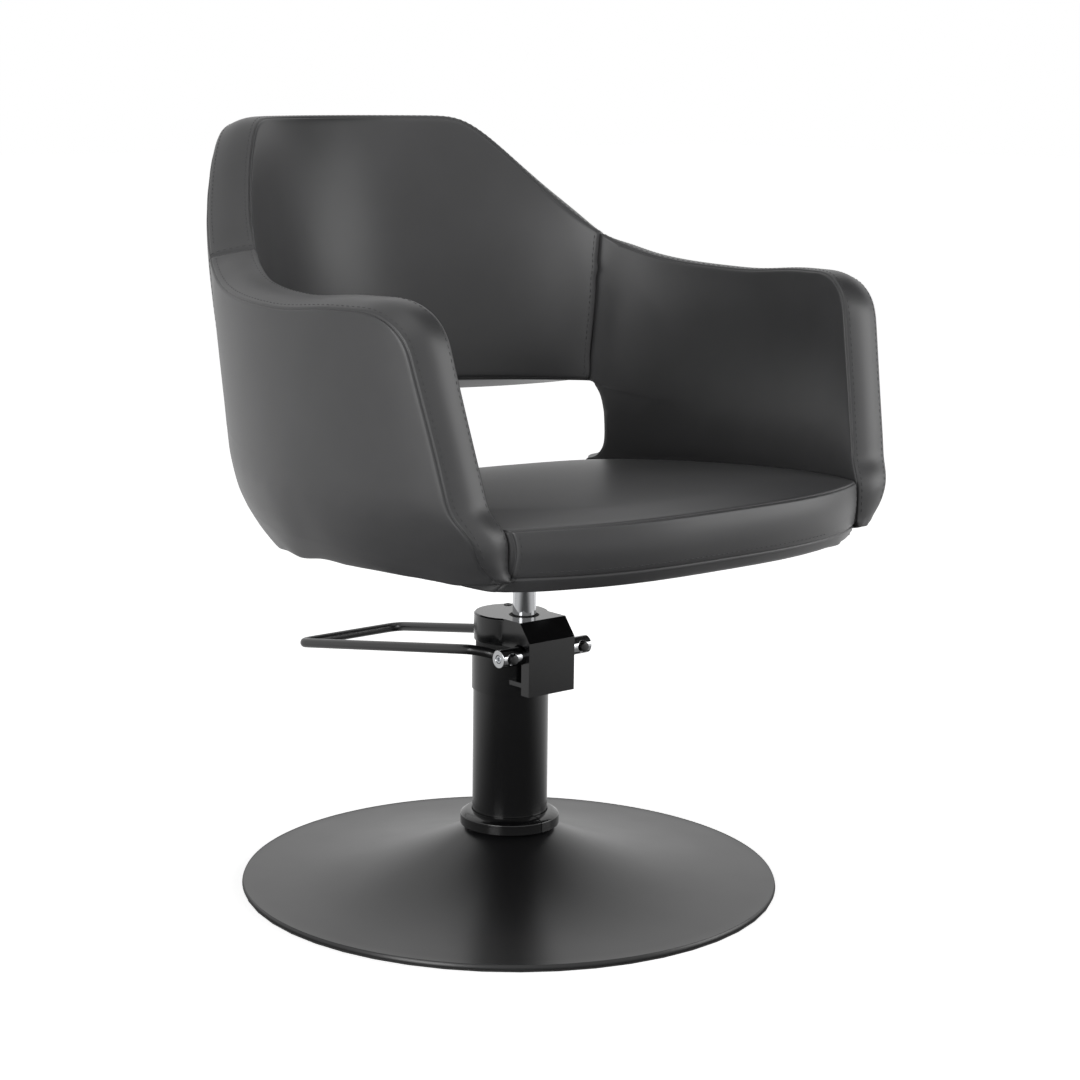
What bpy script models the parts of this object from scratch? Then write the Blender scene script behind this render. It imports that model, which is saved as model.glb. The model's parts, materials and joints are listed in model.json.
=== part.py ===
"""Hairdressing chair: an upholstered tub on a hydraulic pump with a round trumpet base.

Metres, +Z up. The chair faces -Y, and the origin lies on the floor at the centre of the base.
Every size that can be set by itself is a named value below. The rest is worked out from them.
"""
from math import asin, cos, exp, hypot, log, pi, radians, sin, sqrt

import bmesh
import bpy
from mathutils import Matrix, Vector

# Clearances
GAP = 0.0003                    # between pieces that touch
RUN = 0.0005                    # round pieces that turn or slide
PASS = 0.002                    # round a piece that only passes by
CHAMFER = 0.001

# Facets: counts round a circle, and the angle above which an edge stays sharp
ROUND_BASE = 48
ROUND = 32
ROUND_SMALL = 16
ROUND_SCREW = 8
ARM_COLUMNS = 14
BACK_COLUMNS = 21
JOINT_ROWS = 9                  # rows of points up the joint between arm and back
SHARP_ANGLE = radians(35.0)

# Base
BASE_RADIUS = 0.300
RIM_HEIGHT = 0.0042             # upright edge of the cover
COVER_WALL = 0.0025
COVER_RISE = 0.0590              # from the rim up to the collar
COVER_FLARE = 2.3               # power of the trumpet's curve
FLOOR_RING_HEIGHT = 0.0030
FLOOR_RING_WIDTH = 0.012
FLOOR_RING_SETBACK = 0.0018     # inside the cover's edge
BASE_PLATE_THICKNESS = 0.0045
HUB_HEIGHT = 0.0115
FLANGE_RADIUS = 0.070
FLANGE_THICKNESS = 0.008
BASE_BOLT_RADIUS = 0.005
BASE_BOLT_HEAD = 0.008
BASE_BOLT_DEPTH = 0.012         # into plate and hub
BASE_BOLT_COUNT = 4

# Column and pump
COLUMN_RADIUS = 0.0420
COLUMN_WALL = 0.0035
COLUMN_TOP = 0.2642             # above the floor
COLLAR_WIDTH = 0.013
COLLAR_HEIGHT = 0.0115
COLLAR_BEVEL = 0.005
SLEEVE_WALL = 0.0014
SLEEVE_LENGTH = 0.0412
SEAL_HEIGHT = 0.0139
SEAL_SETBACK = 0.0025
HEAD_RADIUS = 0.0418
HEAD_HEIGHT = 0.030
HEAD_BEVEL = 0.0016
BOX_HALF_WIDTH = 0.0325
BOX_ROOF_FRONT = 0.053          # where the flat roof ends, forward of the column's axis
BOX_FRONT = 0.069               # the front cover's face
BOX_ROOF_DROP = 0.0205          # height of the sloping roof
COVER_DROP = 0.0595              # height of the front cover's face
COVER_RETURN = 0.013            # depth of its folded sides
SHEET = 0.0025
LEDGE_BELOW_SHAFT = 0.0314
LEDGE_THICKNESS = 0.0055
LEDGE_PIN_RADIUS = 0.002
LEDGE_PIN_SPACING = 0.030
LEDGE_PIN_LENGTH = 0.0095
LEDGE_PIN_GRIP = 0.0015         # depth of the blind hole in the cover
PLUG_RADIUS = 0.0045
PLUG_HEIGHT = 0.003
PLUG_ANGLE = radians(57.0)
PISTON_RADIUS = 0.013
PISTON_FORWARD = 0.0215         # piston axis ahead of the column's axis
PISTON_SHOWN = 0.0305           # between pump head and seat socket at the lowest setting
CYLINDER_WALL = 0.002
CYLINDER_FLOOR = 0.004
BUSH_WALL = 0.003
WIPER_STAND = 0.0005
WIPER_HEIGHT = 0.008
PACKING_HEIGHT = 0.010
LIFT = 0.130

# Pump lever
SHAFT_RADIUS = 0.010
SHAFT_HALF_LENGTH = 0.0630
SHAFT_FORWARD = 0.0535
SHAFT_BELOW_HEAD = 0.0357       # axis below the head's top
ROD_RADIUS = 0.0061
ROD_HOLE_INSET = 0.0125         # from the shaft's end to the rod's hole
ROD_PROUD = 0.0035              # rod end beyond the shaft's front
LOOP_HALF_WIDTH = 0.0735
LOOP_BACK = 0.3025
LOOP_SLOPE = radians(9.2)
LOOP_RISE = 0.0120              # of the straight sides above the shaft's axis
LOOP_CORNER = 0.016
SOCKET_SCREW_RADIUS = 0.004
SOCKET_SCREW_KEY = 0.0022
LUG_INNER = 0.005
LUG_OUTER = 0.013
LUG_WALL = 0.0035
LUG_BUSH_WALL = 0.0012
FINGER_THICKNESS = 0.009
FINGER_REACH = 0.021
FINGER_HALF_WIDTH = 0.004
PLUNGER_RADIUS = 0.004
PLUNGER_LENGTH = 0.034
PLUNGER_ARM = 0.017             # plunger axis above the shaft's axis
PLUNGER_SIDE = 0.0228           # plunger axis beside the middle plane
PLUNGER_TRAVEL = 0.0075
LEVER_SWING = radians(20.0)
SPRING_WIRE = 0.0007           # radius
SPRING_TURNS = 3

# Seat carrier
SOCKET_RADIUS = 0.023
SOCKET_HEIGHT = 0.0588
SOCKET_BORE_DEPTH = 0.045
PLATE_HALF_WIDTH = 0.105
PLATE_THICKNESS = 0.008
PLATE_CORNER = 0.018
PLATE_BOLT_RADIUS = 0.004
PLATE_BOLT_HEAD = 0.007
PLATE_BOLT_SPACING = 0.160
BOARD_THICKNESS = 0.026
BOARD_MARGIN = 0.036            # inside the seat's edge
BOARD_FRONT = 0.255             # forward of the column's axis
BOARD_BACK = 0.090
NUT_WALL = 0.0022
NUT_FLANGE = 0.0015

# Tub: the inner wall is an ellipse in plan that grows with height
TUB_CENTRE_Y = -0.0863
TUB_HALF_WIDTH = 0.2930
SIDE_LEAN = 0.0215
TUB_BACK_DEPTH = 0.3285
BACK_LEAN = 0.2078
DATUM_RISE = 0.042              # above the underside, where the plan sizes hold
TUB_FRONT_DEPTH = 0.3504
WALL = 0.050
WALL_TAPER = 0.003              # thinner towards the seat
SEAT_THICKNESS = 0.0619
SEAT_CORNER_Y = -0.2837
SEAT_FRONT_BOW = 0.0543
SEAT_FRONT_POWER = 3.0
SEAT_BACK_Y = 0.105
SEAT_BACK_BOW = 0.080
SEAT_BACK_ROLL = 0.014
SEAT_SIDE_ROLL = 0.030          # its underside drawn in beside the arms
SIDE_ROLL_RUN = 0.110           # from the front corners to where it is drawn in fully
SEAT_CLEAR = 0.0008             # between seat and arms
SEAT_SLOPE = 0.068
SEAT_CROWN = 0.009
APRON_SEAM = 0.014              # lower seam above the underside
APRON_ROLL = 0.014
ARM_RISE = 0.2074                # arm top above the seat's front edge
ARM_LIFT_TO_FRONT = 0.0069
ARM_CORNER = 0.0536
ARM_FRONT_LEAN = 0.2368
ARM_FRONT_FOOT = 0.0120         # how far the front edge kicks forward at the seat
FRONT_SWEEP = -0.0015             # outer front edge behind the inner one
RIM_DROP = 0.010                # outer rim seam below the inner one
BACK_RISE = 0.3730               # back top above the seat's front edge
BACK_EDGE_Y = 0.1359             # where the rim turns up from arm to back
BACK_EDGE_SLOPE = 1.2087
BACK_EDGE_SOFT = 0.0413
BACK_CORNER_SOFT = 0.0075
SEAM_Y = 0.1345                  # joint between arm and back on the inner wall
SLOT_RISE = 0.0660              # slot's upper edge above the seat's front edge
SLOT_BITE = 0.0225
SLOT_RETURN = 0.016             # of its lower corner
SLOT_WAIST = 0.0005             # its deepest point above the seat's front edge
SLOT_LOWER_DROP = 0.016
HEEL_RADIUS = 0.150
HEEL_FOOT = 0.018
FOOT_RISE = 0.009               # underside of the arms above that of the seat
FOOT_RUN = 0.050
REAR_DIP = 0.006
DIP_START = -0.070
DIP_LENGTH = 0.030
ARM_CROWN = 0.004
BACK_CROWN = 0.006
OUTER_CROWN = 0.005
BAND_CROWN = 0.005
PANEL_INNER = 0.004             # plywood panels: offset of their inner face in the wall
PANEL_THICKNESS = 0.010
PANEL_EDGE = 0.034              # from the upholstered edge
PANEL_CLEAR = 0.0008            # between panels and padding
PANEL_FOOT = 0.0045             # lower edge of the arm panels above the arms' underside
ARM_BOLT_RADIUS = 0.003
ARM_BOLT_HEAD = 0.005
ARM_BOLT_HEAD_HEIGHT = 0.004
ARM_BOLT_GRIP = 0.030           # length held in the seat board
ARM_BOLT_ROWS = (-0.165, -0.020)
DOWEL_RADIUS = 0.003
DOWEL_LENGTH = 0.040
DOWEL_SPACING = 0.030

# Heights that follow
RIM_TOP = FLOOR_RING_HEIGHT + GAP + RIM_HEIGHT
COVER_TOP = RIM_TOP + COVER_RISE
FLANGE_BOTTOM = BASE_PLATE_THICKNESS + HUB_HEIGHT + GAP
FLANGE_TOP = FLANGE_BOTTOM + FLANGE_THICKNESS
HEAD_BOTTOM = COLUMN_TOP + GAP + SEAL_HEIGHT + GAP
HEAD_TOP = HEAD_BOTTOM + HEAD_HEIGHT
SHAFT_Z = HEAD_TOP - SHAFT_BELOW_HEAD
ROOF_FOOT = HEAD_TOP - BOX_ROOF_DROP
SOCKET_BOTTOM = HEAD_TOP + PISTON_SHOWN
SOCKET_TOP = SOCKET_BOTTOM + SOCKET_HEIGHT
PLATE_BOTTOM = SOCKET_TOP + GAP
SEAT_BOTTOM = PLATE_BOTTOM + PLATE_THICKNESS + GAP
SEAT_EDGE = SEAT_BOTTOM + SEAT_THICKNESS
BOARD_TOP = SEAT_BOTTOM + BOARD_THICKNESS
BOARD_MIDDLE = SEAT_BOTTOM + BOARD_THICKNESS / 2
PANEL_BOTTOM = SEAT_BOTTOM + FOOT_RISE + PANEL_FOOT
ARM_BOLT_Z = PANEL_BOTTOM + ARM_BOLT_HEAD
ARM_TOP = SEAT_EDGE + ARM_RISE
BACK_TOP = SEAT_EDGE + BACK_RISE
SLOT_TOP = SEAT_EDGE + SLOT_RISE
WAIST_Z = SEAT_EDGE + SLOT_WAIST
SLOT_FLOOR = SEAT_EDGE - SEAT_SLOPE * (SEAT_BACK_Y - SEAT_CORNER_Y)
WALL_DATUM = SEAT_BOTTOM + DATUM_RISE
HEEL_HEIGHT = sqrt(HEEL_RADIUS ** 2 - (HEEL_RADIUS - WALL + HEEL_FOOT) ** 2)

# Round sizes and places that follow
PISTON_AT = (0.0, -PISTON_FORWARD)
SLEEVE_RADIUS = COLUMN_RADIUS + GAP + SLEEVE_WALL
BUSH_RADIUS = PISTON_RADIUS + RUN + BUSH_WALL
SHAFT_AT = Vector((0.0, -SHAFT_FORWARD, SHAFT_Z))
ROD_HOLE_X = SHAFT_HALF_LENGTH - ROD_HOLE_INSET
PLUNGER_AT = Vector((PLUNGER_SIDE, -SHAFT_FORWARD + FINGER_HALF_WIDTH + GAP, SHAFT_Z + PLUNGER_ARM))
PLUG_REACH = HEAD_RADIUS - HEAD_BEVEL - 1.3 * PLUG_RADIUS
COIL_RADIUS = SHAFT_RADIUS + RUN + 2 * SPRING_WIRE
COIL_PITCH = 2 * SPRING_WIRE + 2 * RUN
COIL_START = LUG_OUTER + SPRING_WIRE + GAP

# Finishes: colour, roughness, metallic
FINISHES = {
    "vinyl": ((0.085, 0.085, 0.088), 0.5, 0.0),
    "satin_black": ((0.020, 0.020, 0.021), 0.45, 0.0),
    "gloss_black": ((0.010, 0.010, 0.011), 0.18, 0.0),
    "chrome": ((0.80, 0.80, 0.82), 0.08, 1.0),
    "steel": ((0.45, 0.46, 0.48), 0.35, 1.0),
    "zinc": ((0.62, 0.63, 0.65), 0.30, 1.0),
    "bronze": ((0.55, 0.36, 0.16), 0.35, 1.0),
    "rubber": ((0.012, 0.012, 0.012), 0.75, 0.0),
    "plywood": ((0.55, 0.38, 0.22), 0.7, 0.0),
}


# Helpers
def clear_scene():
    for item in list(bpy.data.objects):
        bpy.data.objects.remove(item, do_unlink=True)


def add_finish(item, finish):
    colour, roughness, metallic = FINISHES[finish]
    material = bpy.data.materials.new(item.name + "_" + finish)
    material.use_nodes = True
    shader = material.node_tree.nodes["Principled BSDF"]
    shader.inputs["Base Color"].default_value = (*colour, 1.0)
    shader.inputs["Roughness"].default_value = roughness
    shader.inputs["Metallic"].default_value = metallic
    material.diffuse_color = (*colour, 1.0)
    item.data.materials.append(material)


def add_object(name, bm, finish=None, origin=(0.0, 0.0, 0.0)):
    """Turn a bmesh in world places into an object whose origin is at the given point."""
    bmesh.ops.translate(bm, verts=bm.verts, vec=-Vector(origin))
    bmesh.ops.recalc_face_normals(bm, faces=bm.faces)
    mesh = bpy.data.meshes.new(name)
    bm.to_mesh(mesh)
    bm.free()
    mesh.shade_smooth()
    mesh.set_sharp_from_angle(angle=SHARP_ANGLE)
    item = bpy.data.objects.new(name, mesh)
    item.location = origin
    bpy.context.scene.collection.objects.link(item)
    if finish:
        add_finish(item, finish)
    return item


def add_cutter(name, bm):
    cutter = add_object(name, bm)
    cutter.hide_render = True
    cutter.display_type = "WIRE"
    return cutter


def boolean(item, other, operation="DIFFERENCE"):
    modifier = item.modifiers.new(operation.lower(), "BOOLEAN")
    modifier.operation = operation
    modifier.object = other
    modifier.solver = "EXACT"


def turn(bm, profile, at=(0.0, 0.0), steps=ROUND):
    """Spin a profile of (radius, height) points about a vertical axis."""
    corners = [bm.verts.new((radius, 0.0, height)) for radius, height in profile]
    pairs = list(zip(corners, corners[1:]))
    if profile[0][0] > 0.0:
        pairs.append((corners[-1], corners[0]))
    edges = [bm.edges.new(pair) for pair in pairs]
    bmesh.ops.spin(bm, geom=corners + edges, cent=(0, 0, 0), axis=(0, 0, 1), angle=2 * pi, steps=steps,
                   use_merge=True)
    bmesh.ops.remove_doubles(bm, verts=bm.verts, dist=1e-6)
    bmesh.ops.translate(bm, verts=bm.verts, vec=(*at, 0.0))


def turned(name, profile, finish, at=(0.0, 0.0), steps=ROUND):
    bm = bmesh.new()
    turn(bm, profile, at, steps)
    return add_object(name, bm, finish, origin=(*at, 0.0))


def add_rod(bm, start, end, radius, steps=ROUND_SMALL):
    start, end = Vector(start), Vector(end)
    along = end - start
    turn_to = along.to_track_quat("Z", "Y").to_matrix().to_4x4()
    place = Matrix.Translation((start + end) / 2) @ turn_to
    bmesh.ops.create_cone(bm, cap_ends=True, segments=steps, radius1=radius, radius2=radius,
                          depth=along.length, matrix=place)


def add_box(bm, low, high):
    low, high = Vector(low), Vector(high)
    size = high - low
    place = Matrix.Translation((low + high) / 2) @ Matrix.Diagonal((*size, 1.0))
    bmesh.ops.create_cube(bm, size=1.0, matrix=place)


def add_prism(bm, outline, shift):
    """Extrude a flat outline of 3-D points along a vector."""
    face = bm.faces.new([bm.verts.new(point) for point in outline])
    made = bmesh.ops.extrude_face_region(bm, geom=[face])["geom"]
    moved = [part for part in made if isinstance(part, bmesh.types.BMVert)]
    bmesh.ops.translate(bm, verts=moved, vec=shift)


def ring(inner, outer, low, high, chamfer=0.0):
    """Profile of a plain ring with an optional chamfer on its outer edges."""
    return [(inner, high), (outer - chamfer, high), (outer, high - chamfer), (outer, low + chamfer),
            (outer - chamfer, low), (inner, low)] if chamfer else [(inner, high), (outer, high), (outer, low),
                                                                    (inner, low)]


def smoothstep(value):
    value = min(max(value, 0.0), 1.0)
    return value * value * (3.0 - 2.0 * value)


def softplus(value):
    return log(1.0 + exp(value)) if value < 30.0 else value


def spread(low, high, count):
    return [low + (high - low) * index / (count - 1) for index in range(count)]


# Base
def build_base():
    ring_outer = BASE_RADIUS - FLOOR_RING_SETBACK
    ring_inner = ring_outer - FLOOR_RING_WIDTH
    plate_radius = ring_inner - GAP
    hub_top = BASE_PLATE_THICKNESS + HUB_HEIGHT
    hub_radius = FLANGE_RADIUS
    plate = turned("base_plate", [(0, hub_top), (hub_radius, hub_top), (hub_radius, BASE_PLATE_THICKNESS),
                                  (plate_radius, BASE_PLATE_THICKNESS), (plate_radius, 0), (0, 0)],
                   "steel", steps=ROUND_BASE)
    turned("floor_ring", ring(ring_inner, ring_outer, 0, FLOOR_RING_HEIGHT), "rubber", steps=ROUND_BASE)

    neck = COLUMN_RADIUS + PASS
    reach = BASE_RADIUS - neck
    radii = [neck + reach * (index / 6) ** 1.5 for index in range(6)] + [BASE_RADIUS - RIM_HEIGHT / 3]
    upper = [(r, RIM_TOP + COVER_RISE * ((BASE_RADIUS - r) / reach) ** COVER_FLARE) for r in radii]
    rim_foot = FLOOR_RING_HEIGHT + GAP
    edge = [(BASE_RADIUS, RIM_TOP - RIM_HEIGHT / 3), (BASE_RADIUS, rim_foot),
            (BASE_RADIUS - COVER_WALL, rim_foot)]
    lower = [(min(r, BASE_RADIUS - COVER_WALL), z - COVER_WALL) for r, z in reversed(upper)]
    turned("base_cover", upper + edge + lower, "satin_black", steps=ROUND_BASE)

    flange = turned("pump_flange", ring(COLUMN_RADIUS / 2, FLANGE_RADIUS, FLANGE_BOTTOM, FLANGE_TOP), "steel")
    circle = (COLUMN_RADIUS + FLANGE_RADIUS) / 2
    holes = bmesh.new()
    for index in range(BASE_BOLT_COUNT):
        angle = 2 * pi * (index + 0.5) / BASE_BOLT_COUNT
        spot = (circle * cos(angle), circle * sin(angle))
        foot = FLANGE_BOTTOM - BASE_BOLT_DEPTH
        head = FLANGE_TOP + GAP
        turned("base_bolt_%d" % (index + 1),
               [(0, head + BASE_BOLT_HEAD), (BASE_BOLT_HEAD, head + BASE_BOLT_HEAD), (BASE_BOLT_HEAD, head),
                (BASE_BOLT_RADIUS, head), (BASE_BOLT_RADIUS, foot), (0, foot)], "zinc", spot, ROUND_SCREW)
        add_rod(holes, (*spot, foot - GAP), (*spot, FLANGE_TOP + PASS), BASE_BOLT_RADIUS + GAP, ROUND_SCREW)
    cutter = add_cutter("cut_base_bolts", holes)
    boolean(plate, cutter)
    boolean(flange, cutter)


# Column, collar and pump body
def build_column():
    column_inner = COLUMN_RADIUS - COLUMN_WALL
    turned("column_tube", ring(column_inner, COLUMN_RADIUS, FLANGE_TOP + GAP, COLUMN_TOP), "gloss_black")
    turned("head_sleeve", ring(COLUMN_RADIUS + GAP, SLEEVE_RADIUS, COLUMN_TOP - SLEEVE_LENGTH, COLUMN_TOP),
           "gloss_black")
    turned("head_seal", ring(column_inner, COLUMN_RADIUS - SEAL_SETBACK, COLUMN_TOP + GAP, HEAD_BOTTOM - GAP),
           "rubber")

    inner = COLUMN_RADIUS + GAP
    outer = inner + COLLAR_WIDTH
    low = COVER_TOP + GAP
    high = low + COLLAR_HEIGHT
    profile = [(inner, high + COLLAR_BEVEL), (inner + COLLAR_BEVEL, high + COLLAR_BEVEL), (outer, high),
               (outer, low), (inner, low)]
    for name, start in (("collar_left", 0.5 * pi), ("collar_right", 1.5 * pi)):
        bm = bmesh.new()
        split = GAP / inner
        section = [bm.verts.new((r * cos(start + split), r * sin(start + split), z)) for r, z in profile]
        edges = [bm.edges.new((section[k - 1], section[k])) for k in range(len(section))]
        bmesh.ops.spin(bm, geom=section + edges, cent=(0, 0, 0), axis=(0, 0, 1), angle=pi - 2 * split,
                       steps=ROUND_SMALL)
        bmesh.ops.holes_fill(bm, edges=bm.edges)
        add_object(name, bm, "gloss_black")

    bore = PISTON_RADIUS + RUN + CYLINDER_WALL / 2
    barrel = bore + CYLINDER_WALL
    foot = FLANGE_TOP + GAP
    floor = foot + CYLINDER_FLOOR
    top = HEAD_BOTTOM - GAP
    turned("pump_cylinder", [(0, floor), (bore, floor), (bore, top), (barrel, top), (barrel, foot), (0, foot)],
           "steel", PISTON_AT)
    turned("piston_bush", ring(PISTON_RADIUS + RUN, BUSH_RADIUS, HEAD_BOTTOM,
                               HEAD_TOP + WIPER_STAND - WIPER_HEIGHT - GAP), "bronze", PISTON_AT)
    turned("wiper_seal", ring(PISTON_RADIUS + GAP, BUSH_RADIUS, HEAD_TOP + WIPER_STAND - WIPER_HEIGHT,
                              HEAD_TOP + WIPER_STAND), "rubber", PISTON_AT)


def build_head():
    """Round cap with a box at its front that carries the lever shaft."""
    bm = bmesh.new()
    turn(bm, [(0, HEAD_TOP), (HEAD_RADIUS - HEAD_BEVEL, HEAD_TOP), (HEAD_RADIUS, HEAD_TOP - HEAD_BEVEL),
              (HEAD_RADIUS, HEAD_BOTTOM), (0, HEAD_BOTTOM)])
    head = add_object("pump_head", bm, "gloss_black")

    roof_foot = ROOF_FOOT + GAP
    box_face = -BOX_FRONT + SHEET + 2 * GAP
    side = [(-PISTON_FORWARD, HEAD_BOTTOM), (-PISTON_FORWARD, HEAD_TOP), (-BOX_ROOF_FRONT, HEAD_TOP),
            (-BOX_FRONT, roof_foot), (box_face, roof_foot), (box_face, HEAD_BOTTOM)]
    bm = bmesh.new()
    add_prism(bm, [(-BOX_HALF_WIDTH, y, z) for y, z in side], (2 * BOX_HALF_WIDTH, 0, 0))
    lug_foot = SHAFT_Z - SHAFT_RADIUS - LUG_BUSH_WALL - LUG_WALL
    lug_reach = SHAFT_RADIUS + LUG_BUSH_WALL + LUG_WALL
    lug_back = min(-SHAFT_FORWARD + lug_reach, SEAL_SETBACK - COLUMN_RADIUS - GAP)
    lug_front = max(-SHAFT_FORWARD - lug_reach, -BOX_FRONT + SHEET + GAP)
    body = add_cutter("add_head_box", bm)
    boolean(head, body, "UNION")
    for side_sign in (-1, 1):
        bm = bmesh.new()
        ends = sorted((side_sign * LUG_INNER, side_sign * LUG_OUTER))
        add_box(bm, (ends[0], lug_front, lug_foot), (ends[1], lug_back, HEAD_BOTTOM + HEAD_HEIGHT / 3))
        boolean(head, add_cutter("add_lug_%s" % ("left" if side_sign < 0 else "right"), bm), "UNION")

    bm = bmesh.new()
    add_rod(bm, (0, 0, lug_foot - PASS), (0, 0, COLUMN_TOP + GAP), SLEEVE_RADIUS + GAP, ROUND)
    boolean(head, add_cutter("cut_lug_backs", bm))
    bm = bmesh.new()
    add_rod(bm, SHAFT_AT - Vector((LUG_OUTER, 0, 0)),
            SHAFT_AT - Vector((COIL_START + COIL_PITCH * SPRING_TURNS + SPRING_WIRE + PASS, 0, 0)),
            COIL_RADIUS + SPRING_WIRE + RUN)
    boolean(head, add_cutter("cut_spring_pocket", bm))

    bm = bmesh.new()
    add_rod(bm, (*PISTON_AT, HEAD_BOTTOM - PASS), (*PISTON_AT, HEAD_TOP + PASS), BUSH_RADIUS + GAP, ROUND)
    boolean(head, add_cutter("cut_piston_bore", bm))
    bm = bmesh.new()
    reach = Vector((BOX_HALF_WIDTH + PASS, 0, 0))
    add_rod(bm, SHAFT_AT - reach, SHAFT_AT + reach, SHAFT_RADIUS + RUN + LUG_BUSH_WALL + GAP)
    boolean(head, add_cutter("cut_shaft_bore", bm))
    bm = bmesh.new()
    pocket = FINGER_THICKNESS / 2 + PASS
    sweep = FINGER_REACH * sin(LEVER_SWING) + FINGER_HALF_WIDTH + PASS
    add_box(bm, (PLUNGER_SIDE - pocket, -SHAFT_FORWARD - FINGER_HALF_WIDTH - PASS, HEAD_BOTTOM - PASS),
            (PLUNGER_SIDE + pocket, -SHAFT_FORWARD + sweep, SHAFT_Z + FINGER_REACH + PASS / 2))
    boolean(head, add_cutter("cut_finger_pocket", bm))
    bm = bmesh.new()
    bore_end = PLUNGER_AT + Vector((0, PLUNGER_LENGTH + PLUNGER_TRAVEL + PASS, 0))
    add_rod(bm, PLUNGER_AT, bore_end, PLUNGER_RADIUS + GAP)
    boolean(head, add_cutter("cut_plunger_bore", bm))

    plug_at = Vector((PLUG_REACH * cos(PLUG_ANGLE), PLUG_REACH * sin(PLUG_ANGLE), HEAD_TOP))
    bm = bmesh.new()
    add_rod(bm, plug_at - Vector((0, 0, 2 * PLUG_HEIGHT)), plug_at + Vector((0, 0, PASS)), PLUG_RADIUS + GAP)
    boolean(head, add_cutter("cut_plug_hole", bm))
    plug_top = HEAD_TOP + PLUG_HEIGHT / 3
    plug_foot = HEAD_TOP - 2 * PLUG_HEIGHT + GAP
    turned("filler_plug", [(0, HEAD_TOP - PLUG_HEIGHT / 3), (PLUG_RADIUS / 2, plug_top),
                           (PLUG_RADIUS, plug_top), (PLUG_RADIUS, plug_foot), (0, plug_foot)],
           "gloss_black", (plug_at.x, plug_at.y), ROUND_SMALL)


def build_front_cover():
    """Folded sheet in front of the shaft, on a ledge that reaches out from the sleeve."""
    low = ROOF_FOOT - COVER_DROP
    back = -BOX_FRONT + COVER_RETURN
    plan = [(-BOX_HALF_WIDTH, back), (-BOX_HALF_WIDTH, -BOX_FRONT), (BOX_HALF_WIDTH, -BOX_FRONT),
            (BOX_HALF_WIDTH, back), (BOX_HALF_WIDTH - SHEET, back),
            (BOX_HALF_WIDTH - SHEET, -BOX_FRONT + SHEET), (-BOX_HALF_WIDTH + SHEET, -BOX_FRONT + SHEET),
            (-BOX_HALF_WIDTH + SHEET, back)]
    bm = bmesh.new()
    add_prism(bm, [(x, y, low) for x, y in plan], (0, 0, ROOF_FOOT - low))
    cover = add_object("front_cover", bm, "gloss_black")

    bm = bmesh.new()
    add_box(bm, (-2 * BOX_HALF_WIDTH, -BOX_FRONT + SHEET + GAP, HEAD_BOTTOM - GAP),
            (2 * BOX_HALF_WIDTH, 0, ROOF_FOOT + PASS))
    boolean(cover, add_cutter("cut_cover_top", bm))
    bm = bmesh.new()
    reach = BOX_HALF_WIDTH + PASS
    add_rod(bm, SHAFT_AT - Vector((reach, 0, 0)), SHAFT_AT + Vector((reach, 0, 0)), SHAFT_RADIUS + RUN)
    boolean(cover, add_cutter("cut_cover_shaft", bm))

    ledge_top = SHAFT_Z - LEDGE_BELOW_SHAFT
    half = BOX_HALF_WIDTH - SHEET - GAP
    bm = bmesh.new()
    add_box(bm, (-half, -BOX_FRONT + SHEET + GAP, ledge_top - LEDGE_THICKNESS), (half, 0, ledge_top))
    ledge = add_object("cover_ledge", bm, "gloss_black")
    bm = bmesh.new()
    add_rod(bm, (0, 0, ledge_top - 2 * LEDGE_THICKNESS), (0, 0, ledge_top + LEDGE_THICKNESS),
            SLEEVE_RADIUS + GAP, ROUND)
    boolean(ledge, add_cutter("cut_ledge_sleeve", bm))

    holes = bmesh.new()
    middle = ledge_top - LEDGE_THICKNESS / 2
    front = -BOX_FRONT + SHEET - LEDGE_PIN_GRIP
    tip = front + LEDGE_PIN_LENGTH
    for side, x in (("left", -LEDGE_PIN_SPACING / 2), ("right", LEDGE_PIN_SPACING / 2)):
        bm = bmesh.new()
        add_rod(bm, (x, front, middle), (x, tip, middle), LEDGE_PIN_RADIUS, ROUND_SCREW)
        add_object("cover_pin_" + side, bm, "steel")
        add_rod(holes, (x, front - GAP, middle), (x, tip + GAP, middle), LEDGE_PIN_RADIUS + GAP, ROUND_SCREW)
    cutter = add_cutter("cut_cover_pins", holes)
    boolean(cover, cutter)
    boolean(ledge, cutter)


# Pump lever: shaft, loop, finger and plunger
def loop_path():
    """Half of the lever's loop, from the rod end in the shaft to the middle of the cross bar."""
    front = SHAFT_RADIUS + ROD_PROUD
    fall = sin(LOOP_SLOPE) / cos(LOOP_SLOPE)

    def side_z(y):
        return SHAFT_Z + LOOP_RISE - (y + SHAFT_FORWARD) * fall

    shaft_back = -SHAFT_FORWARD + SHAFT_RADIUS
    spread_out = LOOP_HALF_WIDTH - ROD_HOLE_X
    points = [(ROD_HOLE_X, -SHAFT_FORWARD - front, SHAFT_Z),
              (ROD_HOLE_X, shaft_back + ROD_RADIUS / 2, SHAFT_Z)]
    for share in (0.25, 0.5, 0.75, 1.0):
        y = shaft_back + ROD_RADIUS + 1.35 * spread_out * share
        points.append((ROD_HOLE_X + spread_out * smoothstep(share), y,
                       SHAFT_Z + (side_z(y) - SHAFT_Z) * smoothstep(share)))
    for step in range(7):
        angle = 0.5 * pi * step / 6
        y = LOOP_BACK - LOOP_CORNER * (1 - sin(angle))
        points.append((LOOP_HALF_WIDTH - LOOP_CORNER * (1 - cos(angle)), y, side_z(y)))
    return [Vector(point) for point in points]


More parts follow.
